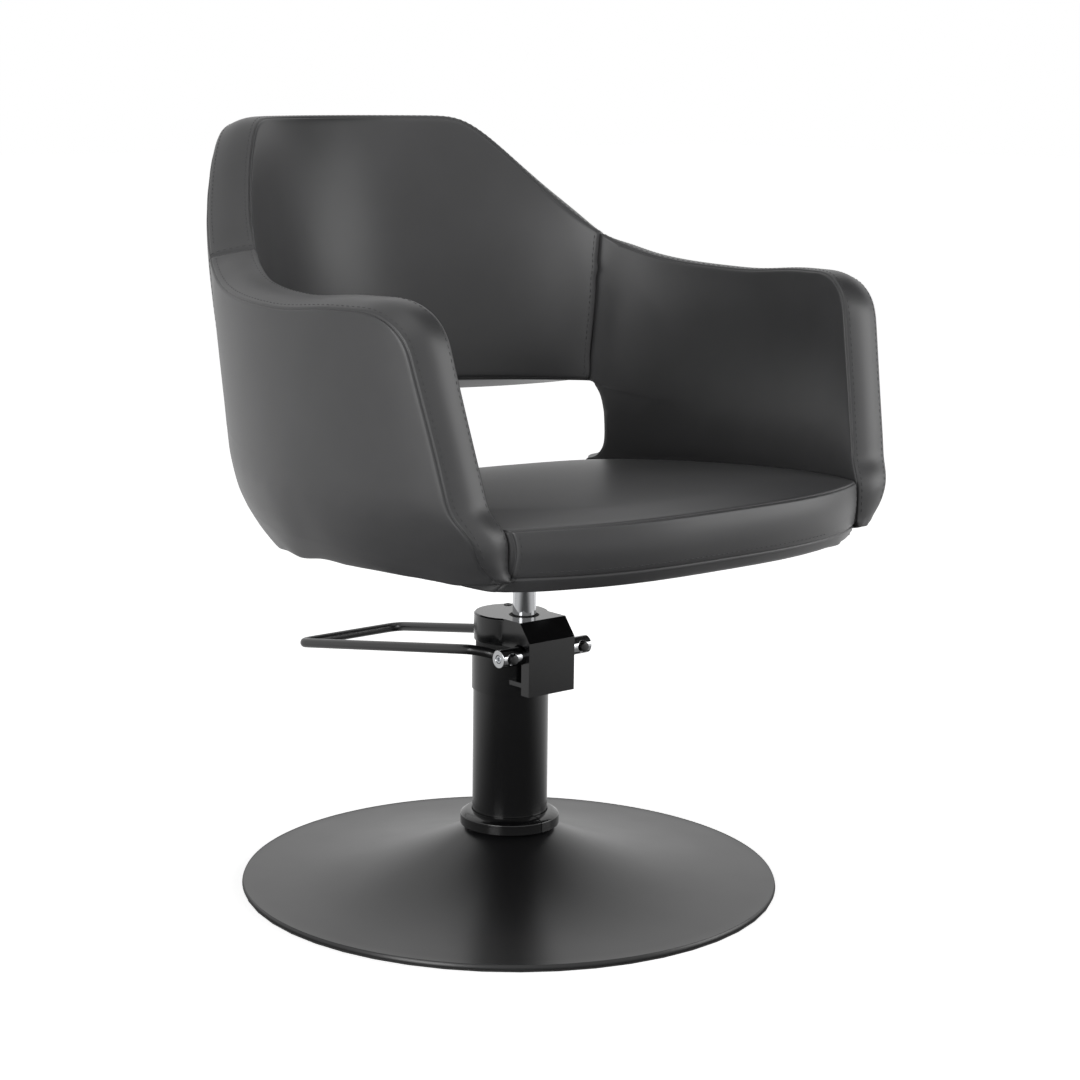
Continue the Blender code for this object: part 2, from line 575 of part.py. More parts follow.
def build_lever():
    left, right = Vector((-SHAFT_HALF_LENGTH, 0, 0)), Vector((SHAFT_HALF_LENGTH, 0, 0))
    bm = bmesh.new()
    add_rod(bm, SHAFT_AT + left, SHAFT_AT + right, SHAFT_RADIUS, ROUND)
    shaft = add_object("lever_shaft", bm, "chrome", origin=SHAFT_AT)

    half = loop_path()
    path = half + [Vector((-point.x, point.y, point.z)) for point in reversed(half)]
    curve = bpy.data.curves.new("lever_loop", "CURVE")
    curve.dimensions = "3D"
    curve.bevel_depth = ROD_RADIUS
    curve.bevel_resolution = 2
    curve.use_fill_caps = True
    spline = curve.splines.new("POLY")
    spline.points.add(len(path) - 1)
    for point, place in zip(spline.points, path):
        point.co = (*(place - SHAFT_AT), 1.0)
    loop = bpy.data.objects.new("lever_loop", curve)
    loop.location = SHAFT_AT
    bpy.context.scene.collection.objects.link(loop)
    add_finish(loop, "satin_black")

    holes, bores = bmesh.new(), bmesh.new()
    for side, sign in (("left", -1), ("right", 1)):
        out = Vector((sign, 0, 0))
        hole = SHAFT_AT + out * ROD_HOLE_X
        across = Vector((0, 2 * SHAFT_RADIUS, 0))
        add_rod(holes, hole - across, hole + across, ROD_RADIUS + GAP)
        outer = SHAFT_AT + out * (SHAFT_HALF_LENGTH - GAP)
        add_rod(bores, hole, outer + out * PASS, SOCKET_SCREW_RADIUS + GAP)
        bm = bmesh.new()
        add_rod(bm, hole + out * (ROD_RADIUS + 2 * GAP), outer, SOCKET_SCREW_RADIUS)
        screw = add_object("lever_screw_" + side, bm, "zinc", origin=SHAFT_AT)
        bm = bmesh.new()
        add_rod(bm, outer + out * PASS, outer - out * SOCKET_SCREW_KEY, SOCKET_SCREW_KEY, 6)
        boolean(screw, add_cutter("cut_screw_key_" + side, bm))

        low, high = SHAFT_AT + out * LUG_INNER, SHAFT_AT + out * LUG_OUTER
        bm = bmesh.new()
        add_rod(bm, low, high, SHAFT_RADIUS + RUN + LUG_BUSH_WALL)
        bush = add_object("shaft_bush_" + side, bm, "bronze")
        bm = bmesh.new()
        add_rod(bm, low - out * PASS, high + out * PASS, SHAFT_RADIUS + RUN)
        boolean(bush, add_cutter("cut_shaft_bush_" + side, bm))
    boolean(shaft, add_cutter("cut_rod_holes", holes))
    boolean(shaft, add_cutter("cut_screw_bores", bores))

    bm = bmesh.new()
    half_thick = Vector((FINGER_THICKNESS / 2, 0, 0))
    centre = SHAFT_AT + Vector((PLUNGER_SIDE, 0, 0))
    add_rod(bm, centre - half_thick, centre + half_thick, SHAFT_RADIUS + GAP + LUG_BUSH_WALL)
    finger = add_object("pump_finger", bm, "steel", origin=SHAFT_AT)
    bm = bmesh.new()
    tip = Vector((-GAP, FINGER_HALF_WIDTH, FINGER_REACH))
    add_box(bm, centre - half_thick - Vector((-GAP, FINGER_HALF_WIDTH, 0)), centre + half_thick + tip)
    boolean(finger, add_cutter("add_finger", bm), "UNION")
    bm = bmesh.new()
    add_rod(bm, centre - 2 * half_thick, centre + 2 * half_thick, SHAFT_RADIUS + GAP)
    boolean(finger, add_cutter("cut_finger_bore", bm))

    bm = bmesh.new()
    add_rod(bm, PLUNGER_AT, PLUNGER_AT + Vector((0, PLUNGER_LENGTH, 0)), PLUNGER_RADIUS)
    add_object("pump_plunger", bm, "steel", origin=PLUNGER_AT)
    build_return_spring()


def build_return_spring():
    """Torsion spring round the shaft, beside the left lug."""
    curve = bpy.data.curves.new("return_spring", "CURVE")
    curve.dimensions = "3D"
    curve.bevel_depth = SPRING_WIRE
    curve.bevel_resolution = 1
    curve.use_fill_caps = True
    steps = 10 * SPRING_TURNS
    spline = curve.splines.new("POLY")
    spline.points.add(steps)
    path = []
    for index in range(steps + 1):
        angle = 2 * pi * SPRING_TURNS * index / steps + 0.5 * pi
        along = COIL_START + COIL_PITCH * SPRING_TURNS * index / steps
        path.append(Vector((-along, COIL_RADIUS * cos(angle), -COIL_RADIUS * sin(angle))))
    for point, place in zip(spline.points, path):
        point.co = (*place, 1.0)
    least = min((path[a] - path[b]).length for a in range(steps + 1) for b in range(a + 5, steps + 1))
    print("return_spring least gap to itself: %.2f mm" % (1000 * (least - 2 * SPRING_WIRE)))
    spring = bpy.data.objects.new("return_spring", curve)
    spring.location = SHAFT_AT
    bpy.context.scene.collection.objects.link(spring)
    add_finish(spring, "steel")


# Piston and seat carrier
def build_carrier():
    top = SOCKET_BOTTOM + SOCKET_BORE_DEPTH - GAP
    foot = FLANGE_TOP + GAP + CYLINDER_FLOOR + GAP
    turned("piston", [(0, top), (PISTON_RADIUS - CHAMFER, top), (PISTON_RADIUS, top - CHAMFER),
                      (PISTON_RADIUS, foot), (0, foot)], "chrome", PISTON_AT)
    turned("piston_packing", ring(PISTON_RADIUS + GAP, PISTON_RADIUS + RUN + CYLINDER_WALL / 2 - GAP,
                                  foot, foot + PACKING_HEIGHT), "rubber", PISTON_AT)

    bore_top = SOCKET_BOTTOM + SOCKET_BORE_DEPTH
    bore = PISTON_RADIUS + GAP
    shoulder = SOCKET_TOP - SOCKET_HEIGHT / 5
    turned("swivel_socket", [(0, SOCKET_TOP), (1.6 * SOCKET_RADIUS, SOCKET_TOP), (SOCKET_RADIUS, shoulder),
                             (SOCKET_RADIUS, SOCKET_BOTTOM), (bore, SOCKET_BOTTOM), (bore, bore_top),
                             (0, bore_top)], "satin_black", PISTON_AT)

    half, corner = PLATE_HALF_WIDTH, PLATE_CORNER
    outline = [(half, corner - half), (half, half - corner), (half - corner, half), (corner - half, half),
               (-half, half - corner), (-half, corner - half), (corner - half, -half), (half - corner, -half)]
    bm = bmesh.new()
    add_prism(bm, [(x, y - PISTON_FORWARD, PLATE_BOTTOM) for x, y in outline], (0, 0, PLATE_THICKNESS))
    plate = add_object("mounting_plate", bm, "satin_black", origin=(*PISTON_AT, 0))

    bm = bmesh.new()
    add_prism(bm, [(x, y, SEAT_BOTTOM) for x, y in board_outline(0.0)], (0, 0, BOARD_THICKNESS))
    board = add_object("seat_board", bm, "plywood", origin=(*PISTON_AT, 0))

    holes, bores = bmesh.new(), bmesh.new()
    reach = PLATE_BOLT_SPACING / 2
    barrel = PLATE_BOLT_RADIUS + GAP + NUT_WALL
    head = PLATE_BOTTOM - GAP
    head_foot = head - PLATE_BOLT_HEAD * 0.7
    flange = BOARD_TOP + GAP
    inner = PLATE_BOLT_RADIUS + GAP
    for index, (sx, sy) in enumerate(((-1, -1), (1, -1), (1, 1), (-1, 1))):
        spot = (sx * reach, sy * reach - PISTON_FORWARD)
        turned("plate_bolt_%d" % (index + 1),
               [(0, BOARD_TOP), (PLATE_BOLT_RADIUS, BOARD_TOP), (PLATE_BOLT_RADIUS, head),
                (PLATE_BOLT_HEAD, head), (PLATE_BOLT_HEAD, head_foot), (0, head_foot)],
               "zinc", spot, ROUND_SCREW)
        turned("tee_nut_%d" % (index + 1),
               [(inner, flange + NUT_FLANGE), (2 * barrel, flange + NUT_FLANGE), (2 * barrel, flange),
                (barrel, flange), (barrel, BOARD_MIDDLE), (inner, BOARD_MIDDLE)], "zinc", spot, ROUND_SCREW)
        add_rod(holes, (*spot, PLATE_BOTTOM - PASS), (*spot, BOARD_TOP + PASS), inner, ROUND_SCREW)
        add_rod(bores, (*spot, BOARD_MIDDLE - GAP), (*spot, BOARD_TOP + PASS), barrel + GAP, ROUND_SCREW)
    cutter = add_cutter("cut_plate_bolts", holes)
    boolean(plate, cutter)
    boolean(board, cutter)
    boolean(board, add_cutter("cut_tee_nuts", bores))
    return board


# Tub surfaces
def half_width(z):
    return TUB_HALF_WIDTH + SIDE_LEAN * (z - WALL_DATUM)


def back_depth(z):
    return TUB_BACK_DEPTH + BACK_LEAN * (z - WALL_DATUM)


def wall_at(y, z, offset=0.0):
    """Point of the right wall at a depth and height, offset outwards from the inner face."""
    depth = (back_depth(z) if y > TUB_CENTRE_Y else TUB_FRONT_DEPTH) + offset
    share = min(abs(y - TUB_CENTRE_Y) / depth, 1.0)
    return Vector(((half_width(z) + offset) * sqrt(1.0 - share * share), y, z))


def outer_y(y, z, offset):
    """Depth on an offset wall of the point that faces the given depth on the inner wall."""
    if y > TUB_CENTRE_Y:
        return TUB_CENTRE_Y + (y - TUB_CENTRE_Y) * (back_depth(z) + offset) / back_depth(z)
    return y + FRONT_SWEEP * (offset / WALL) * (TUB_CENTRE_Y - y) / (TUB_CENTRE_Y - SEAT_CORNER_Y)


def rim_height(y):
    """Height of the inner rim: level along the arm, then up the back to its flat top."""
    slope = BACK_EDGE_SLOPE * BACK_EDGE_SOFT * softplus((y - BACK_EDGE_Y) / BACK_EDGE_SOFT)
    start, run = TUB_CENTRE_Y / 2, 2 * ARM_LIFT_TO_FRONT + abs(TUB_CENTRE_Y)
    rise = ARM_LIFT_TO_FRONT * smoothstep((start - y) / run)
    height = ARM_TOP + slope + rise
    return BACK_TOP - BACK_CORNER_SOFT * softplus((BACK_TOP - height) / BACK_CORNER_SOFT)


def rear_edge(z):
    """Depth of the arm's rear end: the joint with the back, then the round end of the slot."""
    if z >= SLOT_TOP:
        return SEAM_Y
    if z >= WAIST_Z:
        share = (z - WAIST_Z) / (SLOT_TOP - WAIST_Z)
        return SEAM_Y - SLOT_BITE * sqrt(1.0 - share * share)
    share = min((WAIST_Z - z) / (WAIST_Z - SLOT_FLOOR), 1.0)
    return SEAM_Y - SLOT_BITE + SLOT_RETURN * (1.0 - sqrt(1.0 - share * share))


def front_edge(z):
    """Depth of the arm's front edge, which leans back and kicks forward at the seat."""
    kick = ARM_FRONT_FOOT * smoothstep((SEAT_EDGE + 0.4 * ARM_FRONT_LEAN * ARM_RISE - z) / (2 * APRON_ROLL))
    lean = ARM_FRONT_LEAN * max(z - SEAT_EDGE, 0.0)
    return SEAT_CORNER_Y + ARM_FRONT_FOOT + lean - kick


def underside(y):
    rise = FOOT_RISE * smoothstep((y - SEAT_CORNER_Y) / FOOT_RUN)
    return SEAT_BOTTOM + rise - REAR_DIP * smoothstep((y - DIP_START) / DIP_LENGTH)


def thickness(z):
    """Offset of the outer face at a height, without the round heel."""
    return WALL - WALL_TAPER * smoothstep((ARM_TOP - z) / (ARM_TOP - SLOT_TOP))


def heel(rise):
    """How far the outer face draws in at a height above the underside."""
    drop = max(HEEL_HEIGHT - rise, 0.0)
    return HEEL_RADIUS - sqrt(HEEL_RADIUS ** 2 - drop ** 2)


def resample(path, shares):
    """Points at the given shares of a path's length."""
    lengths = [0.0]
    for a, b in zip(path, path[1:]):
        lengths.append(lengths[-1] + (b - a).length)
    points, index = [], 0
    for share in shares:
        target = share * lengths[-1]
        while index < len(path) - 2 and lengths[index + 1] < target:
            index += 1
        step = lengths[index + 1] - lengths[index]
        points.append(path[index].lerp(path[index + 1], min((target - lengths[index]) / step, 1.0)))
    return points


def coons(low, high, rear, front):
    """Grid of points between four edges: low and high run rear to front, the others upwards."""
    rows, columns = len(rear), len(low)
    grid = []
    for i in range(rows):
        v = i / (rows - 1)
        row = []
        for j in range(columns):
            u = j / (columns - 1)
            ruled = low[j].lerp(high[j], v) + rear[i].lerp(front[i], u)
            corners = low[0].lerp(high[0], v).lerp(low[-1].lerp(high[-1], v), u)
            row.append(ruled - corners)
        grid.append(row)
    return grid


def slot_heights(foot):
    """Heights of the points round the slot's end, from the arm's underside up to the joint."""
    below, above = WAIST_Z - SLOT_FLOOR, SLOT_TOP - WAIST_Z
    heights = [foot, SLOT_FLOOR]
    heights += [WAIST_Z - below * sin(share * pi) for share in (0.33, 0.17, 0.0)]
    return heights + [WAIST_Z + above * sin(share * pi) for share in (0.15, 0.29, 0.41)]


def arm_domain(columns):
    """Arm outline on the wall as a grid of (depth, height)."""
    bottom_front = front_edge(SEAT_BOTTOM)
    corner_z = rim_height(front_edge(ARM_TOP))
    corner_y = front_edge(corner_z)
    lean = asin(ARM_FRONT_LEAN / hypot(1.0, ARM_FRONT_LEAN))
    tangent = ARM_CORNER * cos(0.25 * pi + lean / 2) / sin(0.25 * pi + lean / 2)
    centre = Vector((corner_y + tangent, corner_z - ARM_CORNER))
    start, end = 0.5 * pi, pi - lean
    arc = [centre + ARM_CORNER * Vector((cos(a), sin(a))) for a in spread(start, end, 9)]
    level = [Vector((y, rim_height(y))) for y in spread(SEAM_Y, corner_y + tangent, 24)]
    climb = [Vector((front_edge(z), z)) for z in spread(SEAT_BOTTOM, arc[-1].y, 24)]
    even = spread(0.0, 1.0, columns)
    high = resample(level + arc[1:5], even)
    low_y = spread(rear_edge(SEAT_BOTTOM), bottom_front, columns)
    low = [Vector((y, underside(y))) for y in low_y]
    heights = slot_heights(low[0].y) + spread(SLOT_TOP, high[0].y, JOINT_ROWS)
    rear = [Vector((rear_edge(z), z)) for z in heights]
    rising = [(i / (len(rear) - 1)) ** 1.45 for i in range(len(rear))]
    front = resample(climb + list(reversed(arc[4:-1])), rising)
    return coons(low, high, rear, front)


def swell(u, v):
    """Crown of a padded face: full in the middle, drawn in at the seams."""
    return (1.0 - (2.0 * u - 1.0) ** 4) * (1.0 - (2.0 * v - 1.0) ** 4)


def edge_loop(grid):
    """Border of a grid in order."""
    return (grid[0][:-1] + [row[-1] for row in grid[:-1]] + grid[-1][:0:-1] + [row[0] for row in grid[:0:-1]])


def add_quad(bm, a, b, c, d):
    """Four points as two triangles, so that a twisted face always folds along the same line."""
    bm.faces.new((a, b, c))
    bm.faces.new((a, c, d))


def closed_shell(name, top, bottom, loops, finish, origin=(0.0, 0.0, 0.0)):
    """Close two grids of points into one solid by way of loops of points round their borders."""
    bm = bmesh.new()
    grids = [[[bm.verts.new(point) for point in row] for row in grid] for grid in (top, bottom)]
    for grid in grids:
        for low, high in zip(grid, grid[1:]):
            for j in range(len(low) - 1):
                add_quad(bm, low[j], low[j + 1], high[j + 1], high[j])
    between = [[bm.verts.new(point) for point in loop] for loop in loops]
    rings = [edge_loop(grids[0])] + between + [edge_loop(grids[1])]
    for a, b in zip(rings, rings[1:]):
        for k in range(len(a)):
            n = (k + 1) % len(a)
            add_quad(bm, a[k], a[n], b[n], b[k])
    return add_object(name, bm, finish, origin) if finish else add_cutter(name, bm)


def band_loop(inner, outer, joints):
    """Middle of the band between two faces, crowned outwards except at the joints and underneath."""
    border, other = edge_loop(inner), edge_loop(outer)
    flat = edge_loop([[i == 0 or j in joints for j in range(len(row))] for i, row in enumerate(inner)])
    inside = [row[1:-1] for row in inner[1:-1]]
    middle = sum((p for row in inside for p in row), Vector()) / sum(len(row) for row in inside)
    loop = []
    for k, point in enumerate(border):
        along = border[(k + 1) % len(border)] - border[k - 1]
        across = other[k] - point
        out = along.cross(across).normalized()
        if out.dot(point - middle) < 0:
            out.negate()
        loop.append((point + other[k]) / 2 + out * (0.0 if flat[k] else BAND_CROWN))
    return loop


def mirrored(grid, sign):
    return [[Vector((sign * p.x, p.y, p.z)) for p in row] for row in grid]


# Upholstery
def build_arm(side):
    sign = 1 if side == "right" else -1
    domain = arm_domain(ARM_COLUMNS)
    rows, columns = len(domain), len(domain[0])
    inner, outer = [], []
    for i, row in enumerate(domain):
        v = i / (rows - 1)
        rise = max(i - rows + JOINT_ROWS, 0) / (JOINT_ROWS - 1)
        inner_row, outer_row = [], []
        for j, (y, z) in enumerate(row):
            u = j / (columns - 1)
            pad = swell(u, smoothstep((z - SEAT_EDGE) / (ARM_TOP - SEAT_EDGE)))
            inner_row.append(wall_at(y, z, -ARM_CROWN * pad if z > SEAT_EDGE else 0.0))
            low_z = z - RIM_DROP * rise * rise
            offset = thickness(low_z) - heel(z - underside(y))
            bulge = OUTER_CROWN * swell(u, v) * smoothstep((z - SEAT_BOTTOM) / (2 * HEEL_HEIGHT))
            outer_row.append(wall_at(outer_y(y, low_z, offset), low_z, offset + bulge))
        inner.append(inner_row)
        outer.append(outer_row)
    inner, outer = mirrored(inner, sign), mirrored(outer, sign)
    loops = [band_loop(inner, outer, (0,))]
    return closed_shell(side + "_arm", inner, outer, loops, "vinyl", origin=(*PISTON_AT, 0))


def seam_angle(z):
    return asin((SEAM_Y - TUB_CENTRE_Y) / back_depth(z))


def back_at(angle, z, offset=0.0):
    return Vector(((half_width(z) + offset) * cos(angle),
                   TUB_CENTRE_Y + (back_depth(z) + offset) * sin(angle), z))


def back_rim(u, margin=0.0):
    """Height of the back's rim at a share of the way from the right joint to the left one."""
    z = BACK_TOP
    for _ in range(24):
        angle = seam_angle(z) + (pi - 2 * seam_angle(z)) * u
        z = rim_height(TUB_CENTRE_Y + back_depth(z) * sin(angle))
    return z - margin


def build_back():
    rows, columns = JOINT_ROWS, BACK_COLUMNS
    inner, outer = [], []

    def joint_to_joint(z, u):
        start = seam_angle(z) + GAP / TUB_HALF_WIDTH
        return start + (pi - 2 * start) * u

    for i in range(rows):
        v = i / (rows - 1)
        inner_row, outer_row = [], []
        for j in range(columns):
            u = j / (columns - 1)
            z = SLOT_TOP + (back_rim(u) - SLOT_TOP) * v
            inner_row.append(back_at(joint_to_joint(z, u), z, -BACK_CROWN * swell(u, v)))
            low_z = z - RIM_DROP * v * v - SLOT_LOWER_DROP * (1 - v) ** 3 * swell(u, 0.5)
            offset = thickness(low_z) + OUTER_CROWN * swell(u, v)
            outer_row.append(back_at(joint_to_joint(low_z, u), low_z, offset))
        inner.append(inner_row)
        outer.append(outer_row)
    loops = [band_loop(inner, outer, (0, columns - 1))]
    return closed_shell("backrest", inner, outer, loops, "vinyl", origin=(*PISTON_AT, 0))


def seat_edge_height(y):
    return SEAT_EDGE - SEAT_SLOPE * (y - SEAT_CORNER_Y)


def seat_outline(share, front_in, back_in, side_in, rows, columns):
    """Seat plan as a grid, at a share of the seat's height, drawn in at the front, back and sides."""
    def side_x(y):
        z = SEAT_BOTTOM + share * (seat_edge_height(y) - SEAT_BOTTOM)
        return wall_at(y, z).x - SEAT_CLEAR - side_in * smoothstep((y - SEAT_CORNER_Y) / SIDE_ROLL_RUN)

    front_y, back_y = SEAT_CORNER_Y + front_in, SEAT_BACK_Y - back_in
    across = [2.0 * j / (columns - 1) - 1.0 for j in range(columns)]
    front = [Vector((side_x(front_y) * u, front_y - SEAT_FRONT_BOW * (1 - abs(u) ** SEAT_FRONT_POWER)))
             for u in across]
    back = [Vector((side_x(back_y) * u, back_y + SEAT_BACK_BOW * (1 - u * u))) for u in across]
    right = [Vector((side_x(y), y)) for y in spread(front_y, back_y, rows)]
    left = [Vector((-p.x, p.y)) for p in right]
    return coons(front, back, left, right)


def seat_ring(share, front_in, back_in, side_in, rows, columns):
    plan = seat_outline(share, front_in, back_in, side_in, rows, columns)
    return [[Vector((p.x, p.y, SEAT_BOTTOM + share * (seat_edge_height(p.y) - SEAT_BOTTOM))) for p in row]
            for row in plan]


def build_seat():
    rows, columns = 11, 15
    top = seat_ring(1.0, 0.0, SEAT_BACK_ROLL, 0.0, rows, columns)
    for i, row in enumerate(top):
        for j, point in enumerate(row):
            point.z += SEAT_CROWN * swell(j / (columns - 1), i / (rows - 1))
    bottom = seat_ring(0.0, APRON_ROLL, SEAT_BACK_ROLL, SEAT_SIDE_ROLL, rows, columns)
    seam = APRON_SEAM / SEAT_THICKNESS
    loops = [edge_loop(seat_ring(share, front_in, back_in, 0.0, rows, columns))
             for share, front_in, back_in in ((0.65, -BAND_CROWN, BAND_CROWN), (seam, 0.0, 0.0))]
    return closed_shell("seat_cushion", top, bottom, loops, "vinyl", origin=(*PISTON_AT, 0))


def board_outline(grow):
    """Seat board plan: the tub's inner wall drawn in by a margin, with clipped corners."""
    margin = BOARD_MARGIN - grow
    clip = BOARD_MARGIN
    depths = spread(-BOARD_FRONT - grow, BOARD_BACK + grow, 9)
    right = [(wall_at(y, SEAT_BOTTOM).x - margin, y) for y in depths]
    right[0] = (right[0][0] - clip, right[0][1])
    right[-1] = (right[-1][0] - clip, right[-1][1])
    return right + [(-x, y) for x, y in reversed(right)]


# Plywood panels inside the upholstery, and what joins them to the seat board
def arm_panel_grid(offset, grow):
    """Arm panel on the offset wall. The pocket for it grows past its edges, and through the joint."""
    grid = []
    for z in spread(PANEL_BOTTOM, ARM_TOP - PANEL_EDGE, 6):
        inside = smoothstep((SLOT_TOP + APRON_ROLL - z) / APRON_ROLL)
        rear = SEAM_Y - GAP + (rear_edge(z) - PANEL_EDGE - SEAM_Y + GAP) * inside
        depths = spread(rear, front_edge(z) + PANEL_EDGE, 6)
        depths[0] += grow + (PASS * (1.0 - inside) if grow else 0.0)
        depths[-1] -= grow
        grid.append([wall_at(outer_y(y, z, offset), z, offset) for y in depths])
    for point in grid[0]:
        point.z -= grow
    for point in grid[-1]:
        point.z += grow
    return grid


def build_arm_panel(side, pad):
    sign = 1 if side == "right" else -1
    for grow in (PANEL_CLEAR, 0.0):
        near = mirrored(arm_panel_grid(PANEL_INNER - grow, grow), sign)
        far = mirrored(arm_panel_grid(PANEL_INNER + PANEL_THICKNESS + grow, grow), sign)
        if grow:
            boolean(pad, closed_shell("cut_%s_panel" % side, near, far, [], None))
        else:
            panel = closed_shell(side + "_arm_panel", near, far, [], "plywood", origin=(*PISTON_AT, 0))
    return panel


def back_panel_grid(offset, grow):
    """Back panel on the offset wall. The pocket for it grows past its edges, and through the joints."""
    grid = []
    for z in spread(SLOT_TOP + PANEL_EDGE, BACK_TOP - 2 * PANEL_EDGE, 5):
        narrow = 1.2 * max(z - ARM_TOP + PANEL_EDGE, 0.0) / TUB_HALF_WIDTH
        start = seam_angle(z) + 2 * GAP / TUB_HALF_WIDTH + narrow
        angles = spread(start, pi - start, 13)
        if grow:
            angles[0] -= PASS / TUB_HALF_WIDTH
            angles[-1] += PASS / TUB_HALF_WIDTH
        grid.append([back_at(angle, z, offset) for angle in angles])
    for point in grid[0]:
        point.z -= grow
    for point in grid[-1]:
        point.z += grow
    return grid


def build_back_panel(pad):
    for grow in (PANEL_CLEAR, 0.0):
        near = back_panel_grid(PANEL_INNER - grow, grow)
        far = back_panel_grid(PANEL_INNER + PANEL_THICKNESS + grow, grow)
        if grow:
            boolean(pad, closed_shell("cut_back_panel", near, far, [], None))
        else:
            panel = closed_shell("back_panel", near, far, [], "plywood", origin=(*PISTON_AT, 0))
    return panel


def build_joining_hardware(pads, panels, back, board):
    """Bolts from the arm panels into the seat board, and dowels from arm panels to back panel."""
    holes = bmesh.new()
    names = ("left_front", "left_rear", "right_front", "right_rear")
    z = ARM_BOLT_Z
    deep = PANEL_INNER + PANEL_THICKNESS
    for name, (sign, y) in zip(names, ((sign, y) for sign in (-1, 1) for y in ARM_BOLT_ROWS)):
        face = wall_at(outer_y(y, z, deep), z, deep)
        tip = wall_at(y, SEAT_BOTTOM).x - BOARD_MARGIN - ARM_BOLT_GRIP
        length = face.x - CHAMFER - ARM_BOLT_HEAD_HEIGHT - tip
        lie = Matrix.Translation((sign * tip, face.y, z)) @ Matrix.Rotation(sign * pi / 2, 4, "Y")
        for grow in (0.0, GAP):
            top = length + ARM_BOLT_HEAD_HEIGHT + 4 * grow
            bm = bmesh.new()
            turn(bm, [(0, top), (ARM_BOLT_HEAD + grow, top), (ARM_BOLT_HEAD + grow, length - grow),
                      (ARM_BOLT_RADIUS + grow, length - grow), (ARM_BOLT_RADIUS + grow, -grow), (0, -grow)],
                 steps=ROUND_SCREW)
            bmesh.ops.transform(bm, matrix=lie, verts=bm.verts)
            if grow:
                cutter = add_cutter("cut_arm_bolt_" + name, bm)
            else:
                add_object("arm_bolt_" + name, bm, "zinc", origin=(*PISTON_AT, 0))
        pad, panel = (pads[0], panels[0]) if sign < 0 else (pads[1], panels[1])
        for item in (pad, panel, pads[2], board):
            boolean(item, cutter)

    bores = bmesh.new()
    middle = (SLOT_TOP + ARM_TOP) / 2
    depth = PANEL_INNER + PANEL_THICKNESS / 2
    for side, sign in (("left", -1), ("right", 1)):
        for level, z in (("lower", middle - DOWEL_SPACING / 2), ("upper", middle + DOWEL_SPACING / 2)):
            angle = seam_angle(z)
            turn_by = DOWEL_LENGTH / 2 / hypot(half_width(z) * sin(angle), back_depth(z) * cos(angle))
            centre = back_at(angle, z, depth)
            along = (back_at(angle + turn_by, z, depth) - back_at(angle - turn_by, z, depth)).normalized()
            flip = Vector((sign, 1, 1))
            half = along * DOWEL_LENGTH / 2
            past = along * (DOWEL_LENGTH / 2 + GAP)
            bm = bmesh.new()
            add_rod(bm, (centre - half) * flip, (centre + half) * flip, DOWEL_RADIUS, ROUND_SCREW)
            add_object("panel_dowel_%s_%s" % (side, level), bm, "zinc", origin=(*PISTON_AT, 0))
            add_rod(bores, (centre - past) * flip, (centre + past) * flip, DOWEL_RADIUS + GAP, ROUND_SCREW)
    cutter = add_cutter("cut_panel_dowels", bores)
    for item in panels + pads[:2] + [back]:
        boolean(item, cutter)


def build_tub(board):
    seat = build_seat()
    bm = bmesh.new()
    add_prism(bm, [(x, y, SEAT_BOTTOM - PASS) for x, y in board_outline(GAP)],
              (0, 0, PASS + BOARD_THICKNESS + 2 * GAP + NUT_FLANGE + GAP))
    boolean(seat, add_cutter("cut_board_pocket", bm))
    left, right, back = build_arm("left"), build_arm("right"), build_back()
    panels = [build_arm_panel("left", left), build_arm_panel("right", right), build_back_panel(back)]
    build_joining_hardware([left, right, seat], panels, back, board)


clear_scene()
build_base()
build_column()
build_head()
build_front_cover()
build_lever()
build_tub(build_carrier())
print("overall height %.3f m, arm top %.3f m, seat edge %.3f m" % (BACK_TOP, ARM_TOP, SEAT_EDGE))
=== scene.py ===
# %% [markdown]
# # Dressing a hairdressing chair
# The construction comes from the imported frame: a tub of four pads on a hydraulic pump with a round
# trumpet base. This lesson gives every surface its finish, and makes the pads soft: sewn covers
# that swell between their seams. Nothing that the frame holds is moved or resized.

# %% Load the frame
import json
from math import cos, radians, sin

import bmesh
import bpy
import numpy as np
from mathutils import Matrix, Vector
from mathutils.bvhtree import BVHTree

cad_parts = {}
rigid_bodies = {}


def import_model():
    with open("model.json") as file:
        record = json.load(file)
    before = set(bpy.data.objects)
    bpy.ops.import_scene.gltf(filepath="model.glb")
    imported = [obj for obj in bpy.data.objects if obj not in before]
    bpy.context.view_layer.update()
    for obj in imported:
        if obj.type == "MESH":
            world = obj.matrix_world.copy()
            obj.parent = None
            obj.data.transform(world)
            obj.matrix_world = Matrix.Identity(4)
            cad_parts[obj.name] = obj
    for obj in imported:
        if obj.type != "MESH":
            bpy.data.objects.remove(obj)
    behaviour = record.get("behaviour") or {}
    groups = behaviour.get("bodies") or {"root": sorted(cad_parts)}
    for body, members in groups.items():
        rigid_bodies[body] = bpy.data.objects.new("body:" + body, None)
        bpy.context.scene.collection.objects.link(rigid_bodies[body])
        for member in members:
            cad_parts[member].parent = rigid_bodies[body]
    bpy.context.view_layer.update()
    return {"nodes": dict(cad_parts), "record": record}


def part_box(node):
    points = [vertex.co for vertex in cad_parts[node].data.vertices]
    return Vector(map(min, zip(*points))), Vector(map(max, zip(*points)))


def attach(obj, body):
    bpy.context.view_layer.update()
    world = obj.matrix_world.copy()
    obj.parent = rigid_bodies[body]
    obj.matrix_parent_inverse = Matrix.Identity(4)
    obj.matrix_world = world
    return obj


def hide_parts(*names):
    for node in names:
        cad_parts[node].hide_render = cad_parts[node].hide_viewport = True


for leftover in list(bpy.data.objects):
    bpy.data.objects.remove(leftover, do_unlink=True)
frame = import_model()
